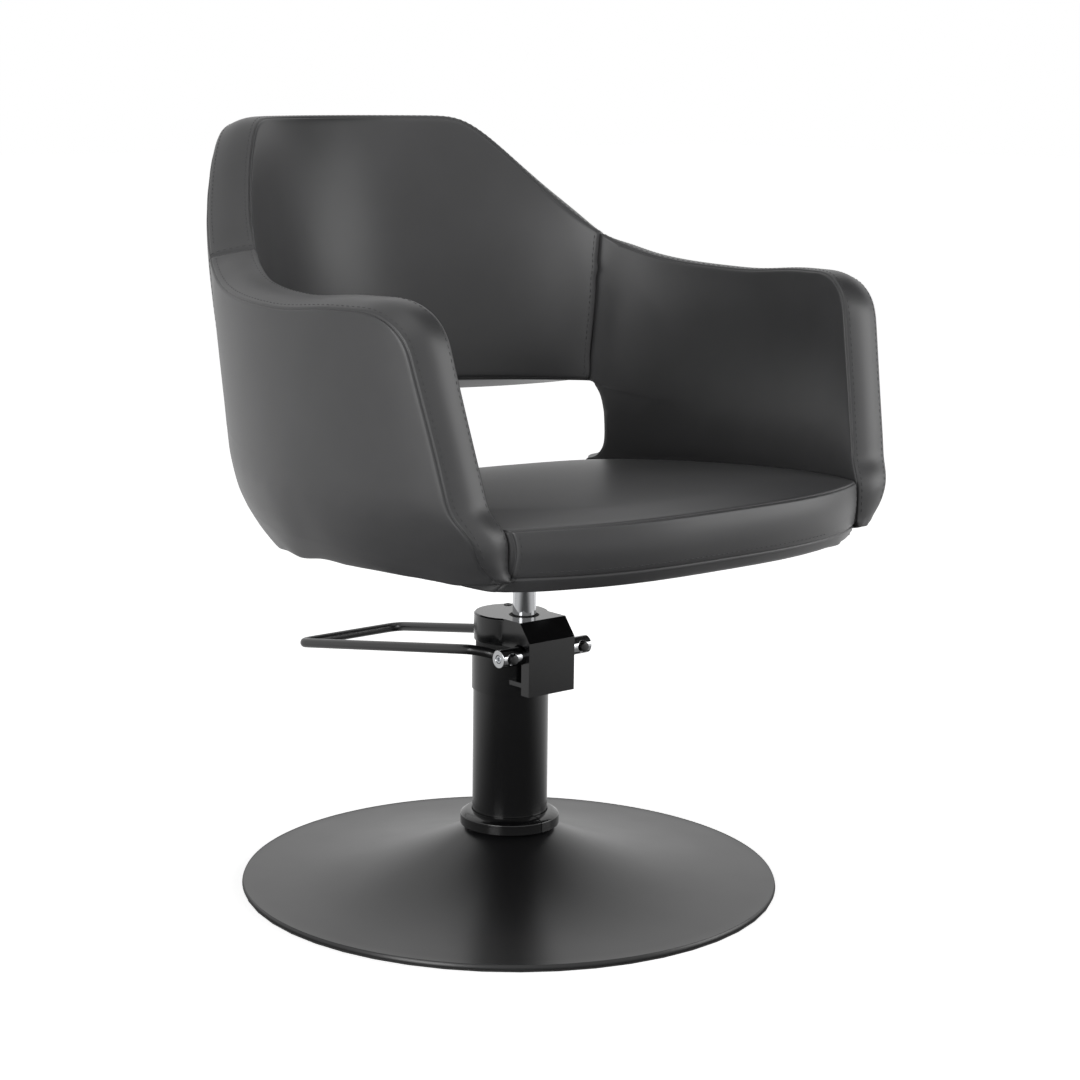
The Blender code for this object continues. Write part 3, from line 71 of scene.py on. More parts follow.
nodes = frame["nodes"]
body_of_node = {
    node: body for body, members in frame["record"]["behaviour"]["bodies"].items() for node in members
}
slot_of_node = {part["node"]: part["material_slot"] for part in frame["record"]["subparts"]}

# %% [markdown]
# ## Finishes
# Each finish is named for what it is on the real chair. Colours are written as sRGB hex values and
# turned to linear light by one function, and one small function adds a shader node with its
# settings, its socket values and its links. Patterns use Object coordinates, which are metres
# here, so a pattern's scale is one over its real size.


# %% Colour and node helpers
MM = 0.001


def linear(hex_colour):
    """Linear RGBA of an sRGB hex colour such as #1a2b3c."""
    shares = [int(hex_colour[i:i + 2], 16) / 255 for i in (1, 3, 5)]
    return tuple(s / 12.92 if s <= 0.04045 else ((s + 0.055) / 1.055) ** 2.4 for s in shares) + (1.0,)


def add_node(material, kind, settings=None, sockets=None):
    """Add a shader node. A socket takes a value, or a (node, output) pair to link from."""
    node = material.node_tree.nodes.new("ShaderNode" + kind)
    for name, value in (settings or {}).items():
        setattr(node, name, value)
    for name, value in (sockets or {}).items():
        if isinstance(value, tuple) and isinstance(value[0], bpy.types.Node):
            material.node_tree.links.new(value[0].outputs[value[1]], node.inputs[name])
        else:
            node.inputs[name].default_value = value
    return node


def new_material(name):
    """An empty node material, and its texture coordinate node."""
    material = bpy.data.materials.new(name)
    material.use_nodes = True
    material.node_tree.nodes.clear()
    return material, add_node(material, "TexCoord")


def close_material(material, shader):
    add_node(material, "OutputMaterial", sockets={"Surface": (shader, 0)})
    return material


# %% [markdown]
# The tub is covered in upholstery vinyl: a PVC skin embossed with a fine leather grain. It gives a
# soft, broad highlight, slightly broken by the grain, and its colour drifts a little from place to
# place. The real grain is about 0.6 mm, too fine for the render, so it is drawn at 1.4 mm.

# %% Upholstery vinyl
GRAIN = 1.4 * MM
DRIFT = 90 * MM


def upholstery_vinyl():
    material, place = new_material("upholstery_vinyl")
    drift = add_node(material, "TexNoise", sockets={
        "Vector": (place, "Object"), "Scale": 1 / DRIFT, "Detail": 3.0})
    colour = add_node(material, "ValToRGB", sockets={"Fac": (drift, "Fac")})
    colour.color_ramp.elements[0].color = linear("#333334")
    colour.color_ramp.elements[0].position = 0.30
    colour.color_ramp.elements[1].color = linear("#39393a")
    colour.color_ramp.elements[1].position = 0.70
    grain = add_node(material, "TexVoronoi", {"feature": "DISTANCE_TO_EDGE"}, {
        "Vector": (place, "Object"), "Scale": 1 / GRAIN, "Randomness": 1.0})
    pores = add_node(material, "TexNoise", sockets={
        "Vector": (place, "Object"), "Scale": 1 / (0.5 * GRAIN), "Detail": 2.0})
    height = add_node(material, "Math", {"operation": "MULTIPLY"}, {
        0: (grain, "Distance"), 1: (pores, "Fac")})
    bump = add_node(material, "Bump", sockets={
        "Height": (height, 0), "Strength": 0.16, "Distance": 0.25 * MM})
    rough = add_node(material, "MapRange", sockets={
        "Value": (pores, "Fac"), "To Min": 0.36, "To Max": 0.46})
    shader = add_node(material, "BsdfPrincipled", sockets={
        "Base Color": (colour, 0), "Roughness": (rough, 0), "Normal": (bump, 0), "IOR": 1.5})
    return close_material(material, shader)


vinyl = upholstery_vinyl()
print("made", vinyl.name)

# %% [markdown]
# The steel parts are coated in two ways. The base and the lever have a satin powder coat, whose
# baked powder leaves a faint orange peel. The column, the head and the front cover have a stoved
# enamel, smoother and much glossier. Both are near black.

# %% Powder coat and stoved enamel
PEEL = 2.2 * MM
CLOUD = 60 * MM


def coated_steel(name, dark, light, roughness, spread, peel):
    material, place = new_material(name)
    waves = add_node(material, "TexNoise", sockets={
        "Vector": (place, "Object"), "Scale": 1 / PEEL, "Detail": 1.0})
    cloud = add_node(material, "TexNoise", sockets={
        "Vector": (place, "Object"), "Scale": 1 / CLOUD, "Detail": 4.0})
    colour = add_node(material, "ValToRGB", sockets={"Fac": (cloud, "Fac")})
    colour.color_ramp.elements[0].color = linear(dark)
    colour.color_ramp.elements[1].color = linear(light)
    rough = add_node(material, "MapRange", sockets={
        "Value": (cloud, "Fac"), "To Min": roughness - spread, "To Max": roughness + spread})
    bump = add_node(material, "Bump", sockets={
        "Height": (waves, "Fac"), "Strength": peel, "Distance": 0.1 * MM})
    shader = add_node(material, "BsdfPrincipled", sockets={
        "Base Color": (colour, 0), "Roughness": (rough, 0), "Normal": (bump, 0), "IOR": 1.5})
    return close_material(material, shader)


powder_coat = coated_steel("satin_powder_coat", "#111112", "#161617", 0.33, 0.03, 0.10)
enamel = coated_steel("stoved_enamel", "#0c0c0d", "#0f0f10", 0.17, 0.02, 0.04)
print("made", powder_coat.name, "and", enamel.name)

# %% [markdown]
# Bare metals are the chromed piston and lever shaft, zinc plated fasteners, plain machined steel
# and bronze bushes. They differ in colour and in how smooth they are, so one function makes them:
# the chrome is nearly even, while zinc shows its crystals and turned steel its tool marks.

# %% Bare metals
def bare_metal(name, hex_colour, roughness, spread, grain):
    material, place = new_material(name)
    marks = add_node(material, "TexNoise", sockets={
        "Vector": (place, "Object"), "Scale": 1 / grain, "Detail": 3.0})
    rough = add_node(material, "MapRange", sockets={
        "Value": (marks, "Fac"), "To Min": roughness - spread, "To Max": roughness + spread})
    bump = add_node(material, "Bump", sockets={
        "Height": (marks, "Fac"), "Strength": 0.04, "Distance": 0.05 * MM})
    shader = add_node(material, "BsdfPrincipled", sockets={
        "Base Color": linear(hex_colour), "Metallic": 1.0, "Roughness": (rough, 0), "Normal": (bump, 0)})
    return close_material(material, shader)


chrome = bare_metal("chrome_plate", "#b2b3b5", 0.06, 0.02, 3 * MM)
zinc = bare_metal("zinc_plate", "#b9bcc0", 0.30, 0.06, 1.2 * MM)
machined = bare_metal("machined_steel", "#8d9094", 0.34, 0.05, 0.8 * MM)
bronze = bare_metal("sintered_bronze", "#a9793f", 0.42, 0.06, 0.6 * MM)
print("made", chrome.name, zinc.name, machined.name, bronze.name)

# %% [markdown]
# Rubber is matt and slightly mottled. The hidden panels are birch plywood: pale veneer with long
# grain, stretched along one axis of the noise. The seat board shows from below, between the pump
# and the seat's edge, so it is stained black.


# %% Rubber and plywood
def nitrile_rubber():
    material, place = new_material("nitrile_rubber")
    mottle = add_node(material, "TexNoise", sockets={
        "Vector": (place, "Object"), "Scale": 1 / (2 * MM), "Detail": 4.0})
    colour = add_node(material, "ValToRGB", sockets={"Fac": (mottle, "Fac")})
    colour.color_ramp.elements[0].color = linear("#131313")
    colour.color_ramp.elements[1].color = linear("#1c1c1c")
    shader = add_node(material, "BsdfPrincipled", sockets={
        "Base Color": (colour, 0), "Roughness": 0.72, "IOR": 1.52})
    return close_material(material, shader)


def plywood_board(name, dark, light):
    material, place = new_material(name)
    along = add_node(material, "Mapping", sockets={
        "Vector": (place, "Object"), "Scale": (1 / (3 * MM), 1 / (80 * MM), 1 / (3 * MM))})
    grain = add_node(material, "TexNoise", sockets={"Vector": (along, 0), "Scale": 1.0, "Detail": 5.0})
    colour = add_node(material, "ValToRGB", sockets={"Fac": (grain, "Fac")})
    colour.color_ramp.elements[0].color = linear(dark)
    colour.color_ramp.elements[1].color = linear(light)
    shader = add_node(material, "BsdfPrincipled", sockets={
        "Base Color": (colour, 0), "Roughness": 0.65, "IOR": 1.5})
    return close_material(material, shader)


rubber = nitrile_rubber()
birch = plywood_board("birch_plywood", "#b98d5c", "#d8b586")
stained = plywood_board("stained_plywood", "#141313", "#201f1e")
finish_of_slot = {
    "vinyl": vinyl, "satin_black": powder_coat, "gloss_black": enamel, "chrome": chrome, "zinc": zinc,
    "steel": machined, "bronze": bronze, "rubber": rubber, "plywood": birch,
}
for name, node in nodes.items():
    node.data.materials.clear()
    node.data.materials.append(stained if name == "seat_board" else finish_of_slot[slot_of_node[name]])
print("finishes on", len(nodes), "nodes")

# %% [markdown]
# ## Pads
# The tub is one sewn cover over three padded shells, two arms and a back, and the seat has a cover
# of its own. The frame's solids have the covers' cut: their panels meet at sharp edges, and those
# edges are the seams. So a cover starts as a copy of its solid, merged and opened up: the faces of
# the pocket for its plywood panel, and those of the joint with the next pad, lie within a millimetre
# of the piece that fills them, and they go.

# %% Selecting and copying
MERGE = 0.02 * MM
POCKET = 1.1 * MM
JOINT = 0.6 * MM
QUAD_SHAPE = radians(60)


def pick(*items):
    """Select these objects and nothing else, and make the first one active."""
    bpy.ops.object.select_all(action="DESELECT")
    for item in items:
        item.select_set(True)
    bpy.context.view_layer.objects.active = items[0]


def copy_of(node, name):
    """A merged copy of a frame node, alone in the selection and in edit mode."""
    item = bpy.data.objects.new(name, nodes[node].data.copy())
    bpy.context.collection.objects.link(item)
    pick(item)
    bpy.ops.mesh.customdata_custom_splitnormals_clear()
    bpy.ops.object.mode_set(mode="EDIT")
    bpy.ops.mesh.select_all(action="SELECT")
    bpy.ops.mesh.remove_doubles(threshold=MERGE)
    return item


def pair_triangles(bend):
    """In edit mode, join the selected triangles to quads, up to this angle between two."""
    bpy.ops.mesh.tris_convert_to_quads(face_threshold=bend, shape_threshold=QUAD_SHAPE)


def select_where(kind, test):
    """In edit mode, select the faces or edges that pass a test, and count them."""
    bpy.ops.mesh.select_mode(type=kind)
    bpy.ops.mesh.select_all(action="DESELECT")
    mesh = bmesh.from_edit_mesh(bpy.context.object.data)
    mesh.normal_update()
    chosen = [part for part in (mesh.faces if kind == "FACE" else mesh.edges) if test(part)]
    for part in chosen:
        part.select_set(True)
    bmesh.update_edit_mesh(bpy.context.object.data)
    return len(chosen)


def middle_of(edge):
    return (edge.verts[0].co + edge.verts[1].co) / 2


def surface_of(names):
    """Nearest-point lookup on some frame nodes."""
    mesh = bmesh.new()
    for name in names:
        mesh.from_mesh(nodes[name].data)
    return BVHTree.FromBMesh(mesh)


def islands_of(faces):
    """Faces in groups that hang together, the largest last."""
    todo, groups = set(faces), []
    while todo:
        stack, group = [todo.pop()], []
        while stack:
            face = stack.pop()
            group.append(face)
            fresh = {other for edge in face.edges for other in edge.link_faces} & todo
            todo -= fresh
            stack.extend(fresh)
        groups.append(group)
    return sorted(groups, key=len)


# %% Open a pad's skin
SIDES = ("left", "right")
TUB = ("backrest", "left_arm", "right_arm")
dowels = ["panel_dowel_%s_%s" % (side, level) for side in SIDES for level in ("lower", "upper")]
arm_bolts = ["arm_bolt_%s_%s" % (side, place) for side in SIDES for place in ("front", "rear")]
inside = {"backrest": ["back_panel"] + dowels, "seat_cushion": ["seat_board"] + arm_bolts}
for side in SIDES:
    inside[side + "_arm"] = [side + "_arm_panel"] + dowels + arm_bolts
beside = {"backrest": ["left_arm", "right_arm"], "left_arm": ["backrest"], "right_arm": ["backrest"]}


def pad_skin(node):
    """A pad's outer skin, open at its joints."""
    item = copy_of(node, node + "_cover")
    filling = surface_of(inside[node])
    joint = surface_of(beside[node]) if node in beside else None

    def at_joint(point):
        return joint is not None and joint.find_nearest(point)[3] < JOINT

    def covered(face):
        middle = face.calc_center_median()
        return at_joint(middle) or filling.find_nearest(middle)[3] < POCKET

    select_where("FACE", covered)
    bpy.ops.mesh.delete(type="FACE")
    mesh = bmesh.from_edit_mesh(item.data)
    crumbs = {face for group in islands_of(mesh.faces)[:-1] for face in group}
    select_where("FACE", lambda face: face in crumbs)
    bpy.ops.mesh.delete(type="FACE")
    select_where("EDGE", lambda edge: edge.is_boundary and not at_joint(middle_of(edge)))
    bpy.ops.mesh.fill_holes(sides=0)
    bpy.ops.object.mode_set(mode="OBJECT")
    item.data.materials.clear()
    item.data.materials.append(bpy.data.materials.new(node))
    print(item.name, len(item.data.polygons), "faces")
    return item


covers = {node: pad_skin(node) for node in (*TUB, "seat_cushion")}

# %% [markdown]
# The three shells of the tub are joined at their open ends, so that the cover runs smoothly from
# arm to back as on the real chair. Each keeps a material of its own for now, which tells them apart.
# A face that is still open after that is a scrap of an end, and goes.

# %% Join the tub
SEWN_GAP = 0.9 * MM

pick(*(covers.pop(node) for node in TUB))
bpy.ops.object.join()
tub = bpy.context.object
tub.name = "tub_cover"
bpy.ops.object.mode_set(mode="EDIT")
loose = select_where("EDGE", lambda edge: edge.is_boundary)
bpy.ops.mesh.remove_doubles(threshold=SEWN_GAP)
while select_where("FACE", lambda face: any(edge.is_boundary for edge in face.edges)):
    bpy.ops.mesh.delete(type="FACE")
left_open = select_where("EDGE", lambda edge: not edge.is_manifold)
bpy.ops.object.mode_set(mode="OBJECT")
covers["tub"] = tub
print("tub cover:", loose, "open edges before,", left_open, "after")

# %% [markdown]
# Where an arm ends at the front, its foot rises to meet the seat's lower seam. The solid is cut off
# square there, so the lowest points are lifted, less and less with their height.

# %% Lift the front feet
FOOT_FRONT = -265 * MM
FOOT_HEIGHT = 38 * MM
FOOT_LIFT = 11 * MM
seat_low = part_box("seat_cushion")[0].z
lifted = 0
for vertex in tub.data.vertices:
    share = 1 - (vertex.co.z - seat_low) / FOOT_HEIGHT
    if vertex.co.y < FOOT_FRONT and share > 0:
        vertex.co.z += share * FOOT_LIFT
        lifted += 1
print("feet:", lifted, "points lifted")

# %% [markdown]
# Now the seams. The triangles are paired up, and every sharp edge is creased, so that subdivision
# keeps it. Most of those edges are sewn, and so are the joints. Round the slot, and along the
# seat's rear and lower edges, the vinyl is only folded over, which a softer crease gives. The foot
# of the tub is rolled under: neither it nor the ridge above it has a crease.

# %% Mark seams and folds
CORNER = {"tub": radians(38), "seat_cushion": radians(26)}
FOLD_CREASE = 0.5
ROLLED = 16 * MM
RIDGE_FRONT = -286 * MM
TUB_REAR = 200 * MM
SLOT_FRONT = 85 * MM
SLOT_EDGE = 16 * MM
SEAT_REAR = 50 * MM
SEAT_FOLD = 6 * MM
NEAR = 2 * MM
slot_top = min(v.co.z for v in tub.data.vertices if v.co.y > TUB_REAR) + SLOT_EDGE


def is_joint(edge):
    return len({face.material_index for face in edge.link_faces}) > 1


def is_rolled(edge):
    """An edge at the tub's foot, or on the ridge down the middle of a front foot."""
    middle = middle_of(edge)
    on_ridge = middle.y < RIDGE_FRONT and middle.z < seat_low + FOOT_HEIGHT
    return bpy.context.object is tub and (on_ridge or middle.z < seat_low + ROLLED)


def is_fold(edge):
    """An edge that is folded and not sewn."""
    middle = middle_of(edge)
    if bpy.context.object is not tub:
        return middle.y > SEAT_REAR or middle.z < seat_low + SEAT_FOLD
    if is_joint(edge):
        return middle.z < slot_top + NEAR
    return is_rolled(edge) or (middle.y > SLOT_FRONT and middle.z < slot_top - NEAR)


def mark_seams(item, corner):
    pick(item)
    bpy.ops.object.mode_set(mode="EDIT")
    bpy.ops.mesh.select_all(action="SELECT")
    pair_triangles(radians(50))
    sharp = select_where("EDGE", lambda edge: not is_joint(edge) and not is_rolled(edge) and (
        edge.calc_face_angle(0.0) > corner))
    bpy.ops.transform.edge_crease(value=FOLD_CREASE)
    sewn = select_where("EDGE", lambda edge: not is_fold(edge) and (
        is_joint(edge) or edge.calc_face_angle(0.0) > corner))
    bpy.ops.mesh.mark_seam(clear=False)
    select_where("EDGE", lambda edge: edge.seam and not is_joint(edge))
    bpy.ops.transform.edge_crease(value=1.0)
    bpy.ops.object.mode_set(mode="OBJECT")
    print(item.name, len(item.data.polygons), "faces,", sharp, "sharp edges,", sewn, "sewn")


for name, cover in covers.items():
    mark_seams(cover, CORNER[name])

# %% [markdown]
# The cage is rounded by subdivision. That alone would shrink its corners, so the cage is first moved
# out, until the rounded surface runs through the solid's own points. Then cloth simulation does what
# the foam does: pressure from inside swells each panel, while its sewn edges hold. Where seat and
# arms press on each other neither can swell, so those points are held too. Foam is firmer than the
# cloth that the simulation knows, so what it gives is evened out over the surface and limited to a
# few millimetres, which takes the wrinkles out and keeps the swell.

# %% Swell the covers
ROUND_LEVELS = 2
FIT_ROUNDS = 2
PRESSURE = 4.0
TENSION = 25.0
BENDING = 2.0
FRAMES = 20
SWELL_LIMIT = 3 * MM
EVEN_ROUNDS = 40
OWN_SHARE = 0.4
TOUCH = 5 * MM
TINY = 1e-9


def add_modifier(item, kind, **settings):
    """Add a modifier with its settings and apply it."""
    pick(item)
    modifier = item.modifiers.new(kind.title(), kind)
    for name, value in settings.items():
        setattr(modifier, name, value)
    bpy.ops.object.modifier_apply(modifier=modifier.name)


def points_of(item):
    places = np.empty(3 * len(item.data.vertices))
    item.data.vertices.foreach_get("co", places)
    return places.reshape(-1, 3)


def fit_cage(item):
    """Move the cage until its rounded surface runs through the points that it has now."""
    goal = points_of(item)
    rounding = item.modifiers.new("Subdivision", "SUBSURF")
    rounding.levels = ROUND_LEVELS
    for _ in range(FIT_ROUNDS):
        shown = item.evaluated_get(bpy.context.evaluated_depsgraph_get())
        reached = points_of(shown)[:len(goal)]
        item.data.vertices.foreach_set("co", (points_of(item) + goal - reached).ravel())
        item.data.update()
    item.modifiers.remove(rounding)
    return np.linalg.norm(points_of(item) - goal, axis=1).max()


def held_points(item, others):
    """Points on a seam, points that press on another pad, and points at the foot."""
    held = {index for edge in item.data.edges if edge.use_seam for index in edge.vertices}
    held.update(v.index for v in item.data.vertices if (
        v.co.z < seat_low + ROLLED or others.find_nearest(v.co)[3] < TOUCH))
    return sorted(held)


def evened(moves, item, held):
    """Each point's move averaged with its neighbours', over and over, with the held points still."""
    ends = np.array([edge.vertices[:] for edge in item.data.edges])
    count = np.bincount(ends.ravel(), minlength=len(moves))[:, None]
    for _ in range(EVEN_ROUNDS):
        total = np.zeros_like(moves)
        np.add.at(total, ends[:, 0], moves[ends[:, 1]])
        np.add.at(total, ends[:, 1], moves[ends[:, 0]])
        moves = OWN_SHARE * moves + (1 - OWN_SHARE) * total / count
        moves[held] = 0.0
    return moves


def swell(item, others):
    """Let pressure swell the cover between its held points, evenly and no further than the limit."""
    held = held_points(item, others)
    rest = points_of(item)
    sewn = item.vertex_groups.new(name="sewn")
    sewn.add(held, 1.0, "REPLACE")
    cloth = item.modifiers.new("Cloth", "CLOTH")
    cloth.settings.vertex_group_mass = sewn.name
    cloth.settings.use_pressure = True
    cloth.settings.uniform_pressure_force = PRESSURE
    cloth.settings.effector_weights.gravity = 0.0
    cloth.settings.tension_stiffness = cloth.settings.compression_stiffness = TENSION
    cloth.settings.bending_stiffness = BENDING
    cloth.collision_settings.use_collision = False
    cloth.point_cache.frame_end = FRAMES
    for moment in range(1, FRAMES + 1):
        bpy.context.scene.frame_set(moment)
    pick(item)
    bpy.ops.object.modifier_apply(modifier=cloth.name)
    bpy.context.scene.frame_set(1)
    moves = evened(points_of(item) - rest, item, held)
    length = np.linalg.norm(moves, axis=1, keepdims=True)
    moves *= np.minimum(1.0, SWELL_LIMIT / np.maximum(length, TINY))
    item.data.vertices.foreach_set("co", (rest + moves).ravel())
    item.data.update()
    return length.max()


for name, cover in covers.items():
    print(cover.name, "cage moved by up to %.1f mm" % (fit_cage(cover) / MM))
    add_modifier(cover, "SUBSURF", levels=ROUND_LEVELS, render_levels=ROUND_LEVELS)
    others = surface_of(["seat_cushion"] if cover is tub else TUB)
    moved = swell(cover, others)
    print(cover.name, len(cover.data.vertices), "points, swelled by up to %.1f mm" % (moved / MM))

# %% [markdown]
# Rows of stitches run beside most seams. On the arms and the back they lie on the rim band, at the
# joints on the back's side, and on the seat's apron along its ends and its lower seam. Their lines
# are worked out now, while every seam is still a single line of edges: one point beside each edge,
# strung together to rows. The stitches follow once the surface is final.

# %% Lines for the stitches
STITCH_BESIDE = 6.5 * MM
STITCH_LOWEST = 22 * MM
ROW_STEP = 15 * MM
FACING = 0.6
TILTED = 0.5
TUB_MIDDLE = Vector((0.0, -0.086, 0.0))


def tub_side(edge):
    """The face that carries the stitches beside a seam of the tub."""
    faces = list(edge.link_faces)
    if middle_of(edge).z < seat_low + STITCH_LOWEST:
        return None
    if is_joint(edge):
        names = [tub.data.materials[face.material_index].name for face in faces]
        return faces[names.index("backrest")]
    out = (middle_of(edge) - TUB_MIDDLE) * Vector((1, 1, 0))
    faces.sort(key=lambda face: abs(face.normal.dot(out.normalized())))
    return faces[0] if faces[0].normal.z > -TILTED else None


def seat_side(edge):
    """The face that carries the stitches beside a seam of the seat: on the apron only."""
    aprons = [face for face in edge.link_faces if (
        face.normal.y < -FACING and abs(face.normal.z) < TILTED)]
    top = any(face.normal.z > FACING for face in edge.link_faces)
    return aprons[0] if len(aprons) == 1 and not top else None


def next_edge(tip, spots, todo):
    """The nearest edge that goes on from this one and isn't in a row yet."""
    near = [other for vert in tip.verts for other in vert.link_edges if other in todo]
    near = [other for other in near if (spots[other] - spots[tip]).length < ROW_STEP]
    return min(near, key=lambda other: (spots[other] - spots[tip]).length, default=None)


def stitch_rows(item, side_of):
    """Rows of points beside the seams, in order along each seam."""
    mesh = bmesh.new()
    mesh.from_mesh(item.data)
    mesh.normal_update()
    spots = {}
    for edge in mesh.edges:
        face = side_of(edge) if edge.seam and len(edge.link_faces) == 2 else None
        if face:
            along = (edge.verts[1].co - edge.verts[0].co).normalized()
            aside = face.calc_center_median() - middle_of(edge)
            aside -= aside.dot(along) * along
            spots[edge] = middle_of(edge) + aside.normalized() * STITCH_BESIDE
    rows, todo = [], dict.fromkeys(spots)
    while todo:
        row = [todo.popitem()[0]]
        for _ in ("onwards", "backwards"):
            while chosen := next_edge(row[-1], spots, todo):
                del todo[chosen]
                row.append(chosen)
            row.reverse()
        rows.append([spots[edge] for edge in row])
    return rows


rows_of = {
    "tub": stitch_rows(tub, tub_side),
    "seat_cushion": stitch_rows(covers["seat_cushion"], seat_side),
}
for name, rows in rows_of.items():
    print(name, [len(row) for row in rows], "points in rows")

# %% [markdown]
# A seam pulls the cover in. Each seam edge is bevelled into a strip with a line down its middle,
# that line is drawn in, and one more subdivision rounds the valley and its two shoulders.

# %% Draw the seams in
SEAM_WIDTH = 1.5 * MM
SEAM_DEPTH = 2.5 * MM
FINE_LEVELS = 1


def draw_seams_in(item):
    pick(item)
    bpy.ops.object.mode_set(mode="EDIT")
    select_where("EDGE", lambda edge: edge.seam)
    bpy.ops.transform.edge_crease(value=-1.0)
    bpy.ops.mesh.bevel(offset=SEAM_WIDTH, segments=2, profile=0.6, affect="EDGES")
    mesh = bmesh.from_edit_mesh(item.data)
    mesh.normal_update()
    middle = [v for v in mesh.verts if v.select and all(face.select for face in v.link_faces)]
    inwards = [v.normal.copy() for v in middle]
    for vertex, normal in zip(middle, inwards):
        vertex.co -= normal * SEAM_DEPTH
    deepest = set(middle)
    select_where("EDGE", lambda edge: deepest.issuperset(edge.verts))
    bpy.ops.transform.edge_crease(value=1.0)
    bpy.ops.object.mode_set(mode="OBJECT")
    add_modifier(item, "SUBSURF", levels=FINE_LEVELS, render_levels=FINE_LEVELS)
    item.vertex_groups.clear()
    print(item.name, len(middle), "seam points,", len(item.data.polygons), "faces")


for cover in covers.values():
    draw_seams_in(cover)

# %% [markdown]
# Stitches are heavy bonded thread: each one is a short rod of six sides whose ends bend down into
# the vinyl. One is modelled, and copies are laid along the rows. They are a little longer and wider
# apart than real ones, so that they show.

# %% One stitch
STITCH_LENGTH = 4.8 * MM
STITCH_PITCH = 7.0 * MM
THREAD = 0.5 * MM
STITCH_BEND = 0.3 * STITCH_LENGTH
STITCH_END = 0.45 * STITCH_LENGTH
STITCH_DIP = 1.6 * THREAD

bpy.ops.object.select_all(action="DESELECT")
bpy.ops.mesh.primitive_cylinder_add(
    vertices=6, radius=THREAD, depth=STITCH_LENGTH, end_fill_type="NOTHING",
    rotation=(0.0, radians(90), 0.0))
stitch = bpy.context.object
bpy.ops.object.transform_apply(location=False, rotation=True, scale=False)
bpy.ops.object.mode_set(mode="EDIT")
for bend in (STITCH_BEND, -STITCH_BEND):
    bpy.ops.mesh.select_all(action="SELECT")
    bpy.ops.mesh.bisect(plane_co=(bend, 0, 0), plane_no=(1, 0, 0))
select_where("EDGE", lambda edge: all(abs(v.co.x) > STITCH_END for v in edge.verts))
bpy.ops.transform.translate(value=(0.0, 0.0, -STITCH_DIP))
bpy.ops.object.mode_set(mode="OBJECT")
print("one stitch:", len(stitch.data.polygons), "faces")


# %% Lay the rows
STITCH_SUNK = 0.15 * THREAD
LEAST_POINTS = 4


def bonded_thread():
    material, place = new_material("bonded_thread")
    twist = add_node(material, "TexNoise", sockets={
        "Vector": (place, "Object"), "Scale": 1 / (0.8 * MM), "Detail": 2.0})
    colour = add_node(material, "ValToRGB", sockets={"Fac": (twist, "Fac")})
    colour.color_ramp.elements[0].color = linear("#2a2a2b")
    colour.color_ramp.elements[1].color = linear("#3a3a3b")
    shader = add_node(material, "BsdfPrincipled", sockets={
        "Base Color": (colour, 0), "Roughness": 0.6, "IOR": 1.5})
    return close_material(material, shader)


def along_row(points, pitch):
    """Evenly spaced places on a row, each with its direction."""
    lengths = [0.0]
    for a, b in zip(points, points[1:]):
        lengths.append(lengths[-1] + (b - a).length)
    places, index = [], 0
    for step in range(int(lengths[-1] / pitch)):
        target = (step + 0.5) * pitch
        while lengths[index + 1] < target:
            index += 1
        share = (target - lengths[index]) / (lengths[index + 1] - lengths[index])
        places.append((points[index].lerp(points[index + 1], share), points[index + 1] - points[index]))
    return places


def lay_stitches(name, cover, rows):
    surface = bmesh.new()
    surface.from_mesh(cover.data)
    surface = BVHTree.FromBMesh(surface)
    seam = bmesh.new()
    for row in rows:
        smooth = [row[0]] + [(a + 2 * b + c) / 4 for a, b, c in zip(row, row[1:], row[2:])] + [row[-1]]
        for place, along in along_row(smooth, STITCH_PITCH):
            spot, normal, _, _ = surface.find_nearest(place)
            ahead = (along - along.dot(normal) * normal).normalized()
            turn = Matrix((ahead, normal.cross(ahead), normal)).transposed().to_4x4()
            before = len(seam.verts)
            seam.from_mesh(stitch.data)
            seam.verts.ensure_lookup_table()
            place_at = Matrix.Translation(spot - STITCH_SUNK * normal) @ turn
            bmesh.ops.transform(seam, matrix=place_at, verts=seam.verts[before:])
    item = bpy.data.objects.new(name, bpy.data.meshes.new(name))
    seam.to_mesh(item.data)
    bpy.context.collection.objects.link(item)
    pick(item)
    bpy.ops.object.shade_smooth()
    item.data.materials.append(thread)
    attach(item, "seat")
    print(name, len(item.data.polygons) // len(stitch.data.polygons), "stitches")


thread = bonded_thread()
for name, rows in rows_of.items():
    lay_stitches(name + "_stitching", covers[name], [row for row in rows if len(row) >= LEAST_POINTS])
bpy.data.objects.remove(stitch, do_unlink=True)

# %% [markdown]
# Last, the tub is parted again at its joints, down in the valleys of their seams, so that each pad
# is a closed piece of its own that stands for its solid.

# %% Part the tub and hand the pads over
pick(tub)
bpy.ops.mesh.separate(type="MATERIAL")
pieces = {item.data.materials[0].name: item for item in bpy.context.selected_objects}
pieces["seat_cushion"] = covers["seat_cushion"]
for node, pad in pieces.items():
    pick(pad)
    bpy.ops.object.mode_set(mode="EDIT")
    select_where("EDGE", lambda edge: edge.is_boundary)
    bpy.ops.mesh.mark_sharp()
    bpy.ops.mesh.fill_holes(sides=0)
    bpy.ops.object.mode_set(mode="OBJECT")
    bpy.ops.object.shade_smooth()
    pad.name = pad.data.name = node + "_cover"
    pad.data.materials.clear()
    pad.data.materials.append(vinyl)
    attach(pad, "seat")
    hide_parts(node)
    print(pad.name, len(pad.data.polygons), "faces")

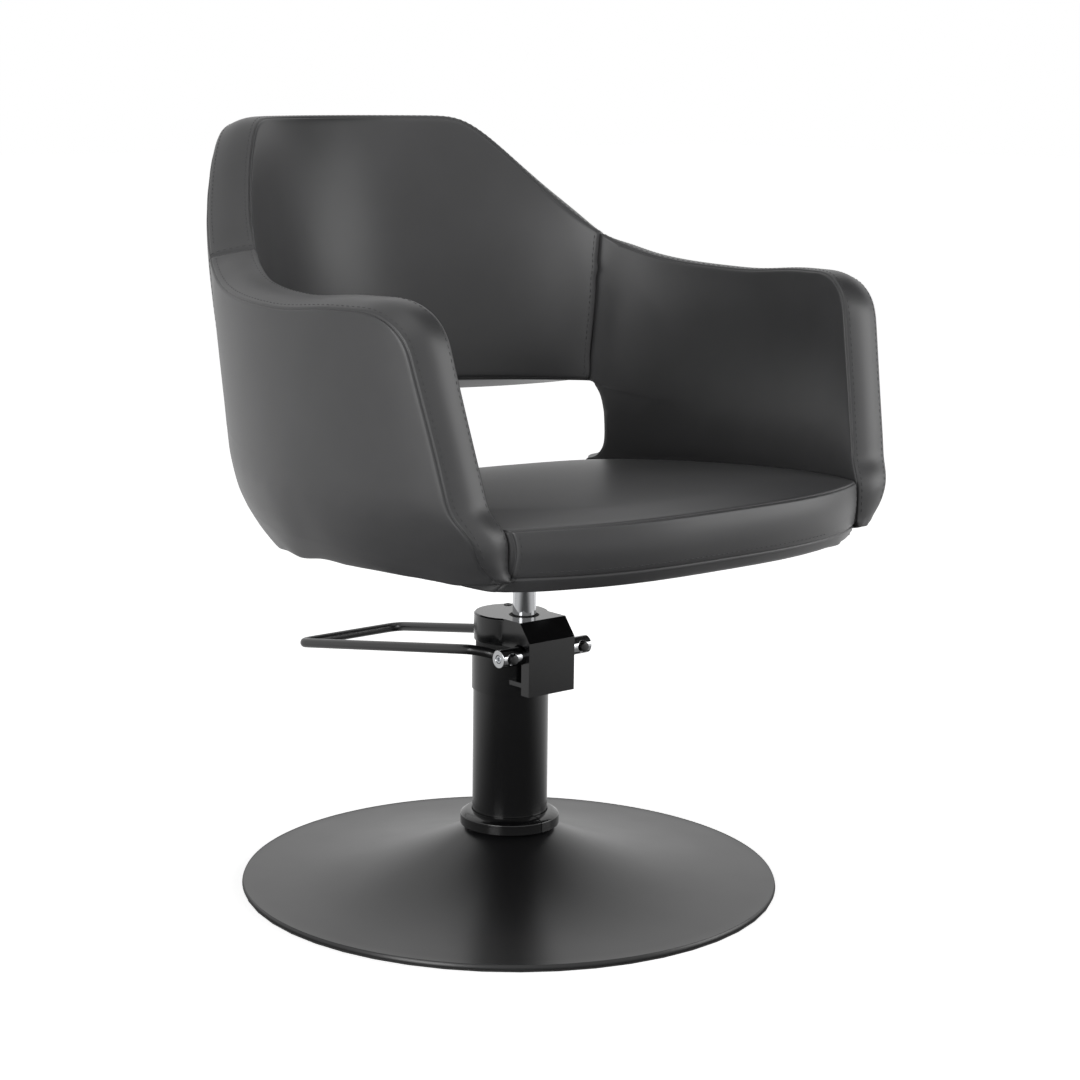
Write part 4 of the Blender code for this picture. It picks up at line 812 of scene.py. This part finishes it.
# %% [markdown]
# ## Metal and rubber pieces
# The frame draws round pieces with flat facets and knife-sharp edges. Pressed, turned and coated
# metal has neither: its edges are broken by a small radius, which catches the light. So each piece
# that shows is replaced by a merged copy of itself. Flat neighbours are dissolved into whole faces,
# the Bevel modifier rounds the edges, and smooth shading takes care of the facets. The large faces
# have the say over the normals, so that a rounded end doesn't tilt the reflections along a tube.

# %% Rounded copies of the small pieces
FLAT = radians(1.0)
EDGE = radians(40)


def finish_piece(item, node):
    pick(item)
    bpy.ops.object.shade_smooth_by_angle(angle=EDGE)
    item.data.materials.clear()
    item.data.materials.append(finish_of_slot[slot_of_node[node]])
    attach(item, body_of_node[node])
    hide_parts(node)


def rounded(node, radius):
    """A copy of a frame node with its sharp edges rounded."""
    item = copy_of(node, node + "_finished")
    bpy.ops.mesh.dissolve_limited(angle_limit=FLAT)
    bpy.ops.object.mode_set(mode="OBJECT")
    add_modifier(item, "BEVEL", width=radius, segments=3, limit_method="ANGLE", angle_limit=EDGE)
    finish_piece(item, node)
    add_modifier(item, "WEIGHTED_NORMAL", keep_sharp=True)
    return item


EDGE_RADIUS_MM = {
    "column_tube": 0.6, "head_sleeve": 0.5, "head_seal": 0.8, "collar_left": 0.9, "collar_right": 0.9,
    "pump_head": 1.0, "front_cover": 0.9, "cover_ledge": 0.6, "filler_plug": 0.4, "wiper_seal": 0.5,
    "lever_shaft": 0.9, "lever_screw_left": 0.3, "lever_screw_right": 0.3, "shaft_bush_left": 0.3,
    "shaft_bush_right": 0.3, "swivel_socket": 0.8, "mounting_plate": 1.0, "floor_ring": 0.8,
    "piston": 0.6,
}
for node, radius in EDGE_RADIUS_MM.items():
    piece = rounded(node, radius * MM)
    print(piece.name, len(piece.data.polygons), "faces")

# %% [markdown]
# The base cover is a spun disc of sheet steel: a trumpet whose rim is rolled over. The frame's 48
# facets would show on its outline, so its copy is subdivided. First its rim gets a wide bevel, so
# that the roll is there to be rounded, and the remaining sharp edges are creased to stay crisp. The
# foot loop is a bent rod, and is rounded in the same way.

# %% Base cover and foot loop
RIM_ROLL = 2.6 * MM
RIM_SHARE = 0.999
RIM_DEPTH = 0.1 * MM
METAL_CREASE = 0.9
METAL_LEVELS = 2


def roll_rim(item):
    """In edit mode, bevel the upper edge of a round cover's rim."""
    points = bmesh.from_edit_mesh(item.data).verts
    reach = RIM_SHARE * max(v.co.xy.length for v in points)
    low = max(v.co.z for v in points if v.co.xy.length > reach) - RIM_DEPTH
    select_where("EDGE", lambda edge: all(v.co.xy.length > reach and v.co.z > low for v in edge.verts))
    bpy.ops.mesh.bevel(offset=RIM_ROLL, segments=3, affect="EDGES")


def subdivided(node, crease_angle, rolled=False):
    """A copy of a frame node, rounded by subdivision between its creased edges."""
    item = copy_of(node, node + "_finished")
    pair_triangles(radians(40))
    if rolled:
        roll_rim(item)
    select_where("EDGE", lambda edge: edge.calc_face_angle(0.0) > crease_angle)
    bpy.ops.transform.edge_crease(value=METAL_CREASE)
    bpy.ops.object.mode_set(mode="OBJECT")
    add_modifier(item, "SUBSURF", levels=METAL_LEVELS, render_levels=METAL_LEVELS)
    finish_piece(item, node)
    print(item.name, len(item.data.polygons), "faces")


subdivided("base_cover", radians(50), rolled=True)
subdivided("lever_loop", radians(60))

# %% [markdown]
# ## Camera, light and floor
# The camera stands where the photograph was taken, to the front left and slightly above. Its place,
# tilt and lens were worked out from the ellipse of the base and the upright column.

# %% Camera
VIEW_AZIMUTH = radians(-40.050)
VIEW_PITCH = radians(10.7365)
VIEW_ROLL = radians(0.6140)
VIEW_DISTANCE = 2.74367
VIEW_TARGET = Vector((0.0, 0.0, 0.38869))
LENS = 83.19
SHIFT = 0.02554

back = Vector((
    sin(VIEW_AZIMUTH) * cos(VIEW_PITCH), -cos(VIEW_AZIMUTH) * cos(VIEW_PITCH), sin(VIEW_PITCH)))
level = Vector((cos(VIEW_AZIMUTH), sin(VIEW_AZIMUTH), 0.0))
upright = back.cross(level)
right = cos(VIEW_ROLL) * level + sin(VIEW_ROLL) * upright
up = cos(VIEW_ROLL) * upright - sin(VIEW_ROLL) * level
camera = bpy.data.objects.new("camera", bpy.data.cameras.new("camera"))
bpy.context.collection.objects.link(camera)
turn = Matrix((right, up, back)).transposed().to_4x4()
camera.matrix_world = Matrix.Translation(VIEW_TARGET + VIEW_DISTANCE * back) @ turn
camera.data.lens = LENS
camera.data.sensor_width = 36.0
camera.data.shift_x = SHIFT
bpy.context.scene.camera = camera
bpy.context.scene.view_settings.view_transform = "Standard"
print("camera at", tuple(round(v, 3) for v in camera.location))

# %% [markdown]
# The light is that of a small white studio: a soft lamp low on the left, a larger one in front on
# the right, a weak one overhead, and a dim white surround. A white surround alone would make gloss
# paint grey and chrome blank, so a photographer sets cards that only the reflections see, dark in
# their middle and fading to white: two on the floor and one high on the right.

# %% Lamps
CHAIR_MIDDLE = Vector((0.0, 0.0, 0.45))
LAMPS = {
    "low_left": ((-2.8, -0.8, 1.05), 1.3, 41.0),
    "front_right": ((2.6, -1.95, 1.6), 2.2, 46.0),
    "overhead": ((0.0, -0.9, 2.8), 1.6, 7.0),
}


def aimed_at_chair(place):
    return (CHAIR_MIDDLE - Vector(place)).to_track_quat("-Z", "Y").to_euler()


for name, (place, size, power) in LAMPS.items():
    lamp = bpy.data.objects.new(name, bpy.data.lights.new(name, "AREA"))
    lamp.data.size = size
    lamp.data.energy = power
    lamp.location = place
    lamp.rotation_euler = aimed_at_chair(place)
    bpy.context.collection.objects.link(lamp)
    print("lamp", name, "%.0f W" % power)

# %% White surround
SURROUND = 0.26


def seen_rays(material):
    """One for rays from the camera, in reflections and through glass, and nought for the rest."""
    path = add_node(material, "LightPath")
    seen = add_node(material, "Math", {"operation": "MAXIMUM"}, {
        0: (path, "Is Camera Ray"), 1: (path, "Is Glossy Ray")})
    return add_node(material, "Math", {"operation": "MAXIMUM"}, {
        0: (seen, 0), 1: (path, "Is Transmission Ray")})


world = bpy.data.worlds.new("white_surround")
world.use_nodes = True
world.node_tree.nodes.clear()
strength = add_node(world, "MapRange", sockets={
    "Value": (seen_rays(world), 0), "To Min": SURROUND, "To Max": 1.0})
sky = add_node(world, "Background", sockets={"Color": linear("#ffffff"), "Strength": (strength, 0)})
add_node(world, "OutputWorld", sockets={"Surface": (sky, 0)})
bpy.context.scene.world = world
print("surround lights with", SURROUND)

# %% Reflection cards
ON_FLOOR = 10 * MM
CARD_WHITE = 0.9
CARDS = {
    "floor_card": ((-0.50, -0.72, 2 * MM), 2.0, 0.10, (0.55, 1.65)),
    "far_card": ((-1.25, -1.76, 3 * MM), 0.8, 0.10, (0.55, 1.65)),
    "high_card": ((1.6, -0.4, 2.2), 1.2, 0.02, (0.75, 2.0)),
}


def shaded(name, darkest, fade):
    """A card's glow, darkest in its middle and fading to nearly white between two distances."""
    material, place = new_material(name)
    reach = add_node(material, "VectorMath", {"operation": "LENGTH"}, {0: (place, "Object")})
    tone = add_node(material, "MapRange", {"interpolation_type": "SMOOTHERSTEP"}, {
        "Value": (reach, "Value"), "From Min": fade[0], "From Max": fade[1],
        "To Min": darkest, "To Max": CARD_WHITE})
    return close_material(material, add_node(material, "Emission", sockets={"Strength": (tone, 0)}))


for name, (place, radius, darkest, fade) in CARDS.items():
    facing = (0.0, 0.0, 0.0) if place[2] < ON_FLOOR else aimed_at_chair(place)
    bpy.ops.object.select_all(action="DESELECT")
    bpy.ops.mesh.primitive_circle_add(
        vertices=48, radius=radius, fill_type="NGON", location=place, rotation=facing)
    card = bpy.context.object
    card.name = name
    card.visible_camera = card.visible_diffuse = card.visible_shadow = card.visible_transmission = False
    card.data.materials.append(shaded(name, darkest, fade))
    print("card", name)

# %% [markdown]
# The floor is pale and matt. Near the chair it only gets a little light of its own, so that the
# chair's soft shadow shows. Further out it brightens to the white of the surround, so that no
# horizon shows.

# %% Floor
FLOOR_SIZE = 40.0

bpy.ops.object.select_all(action="DESELECT")
bpy.ops.mesh.primitive_plane_add(size=FLOOR_SIZE, location=(0.0, 0.0, 0.0))
floor = bpy.context.object
floor.name = "floor"
paint, place = new_material("pale_floor")
reach = add_node(paint, "VectorMath", {"operation": "LENGTH"}, {0: (place, "Object")})
lift = add_node(paint, "MapRange", {"interpolation_type": "SMOOTHSTEP"}, {
    "Value": (reach, "Value"), "From Min": 0.30, "From Max": 0.9, "To Min": 0.66, "To Max": 0.78})
glow = add_node(paint, "Math", {"operation": "MULTIPLY"}, {0: (lift, 0), 1: (seen_rays(paint), 0)})
matt = add_node(paint, "BsdfDiffuse", sockets={"Color": linear("#f4f4f4")})
shine = add_node(paint, "Emission", sockets={"Strength": (glow, 0)})
both = add_node(paint, "AddShader", sockets={0: (matt, 0), 1: (shine, 0)})
floor.data.materials.append(close_material(paint, both))
print("floor,", len(CARDS), "cards and", len(LAMPS), "lamps")
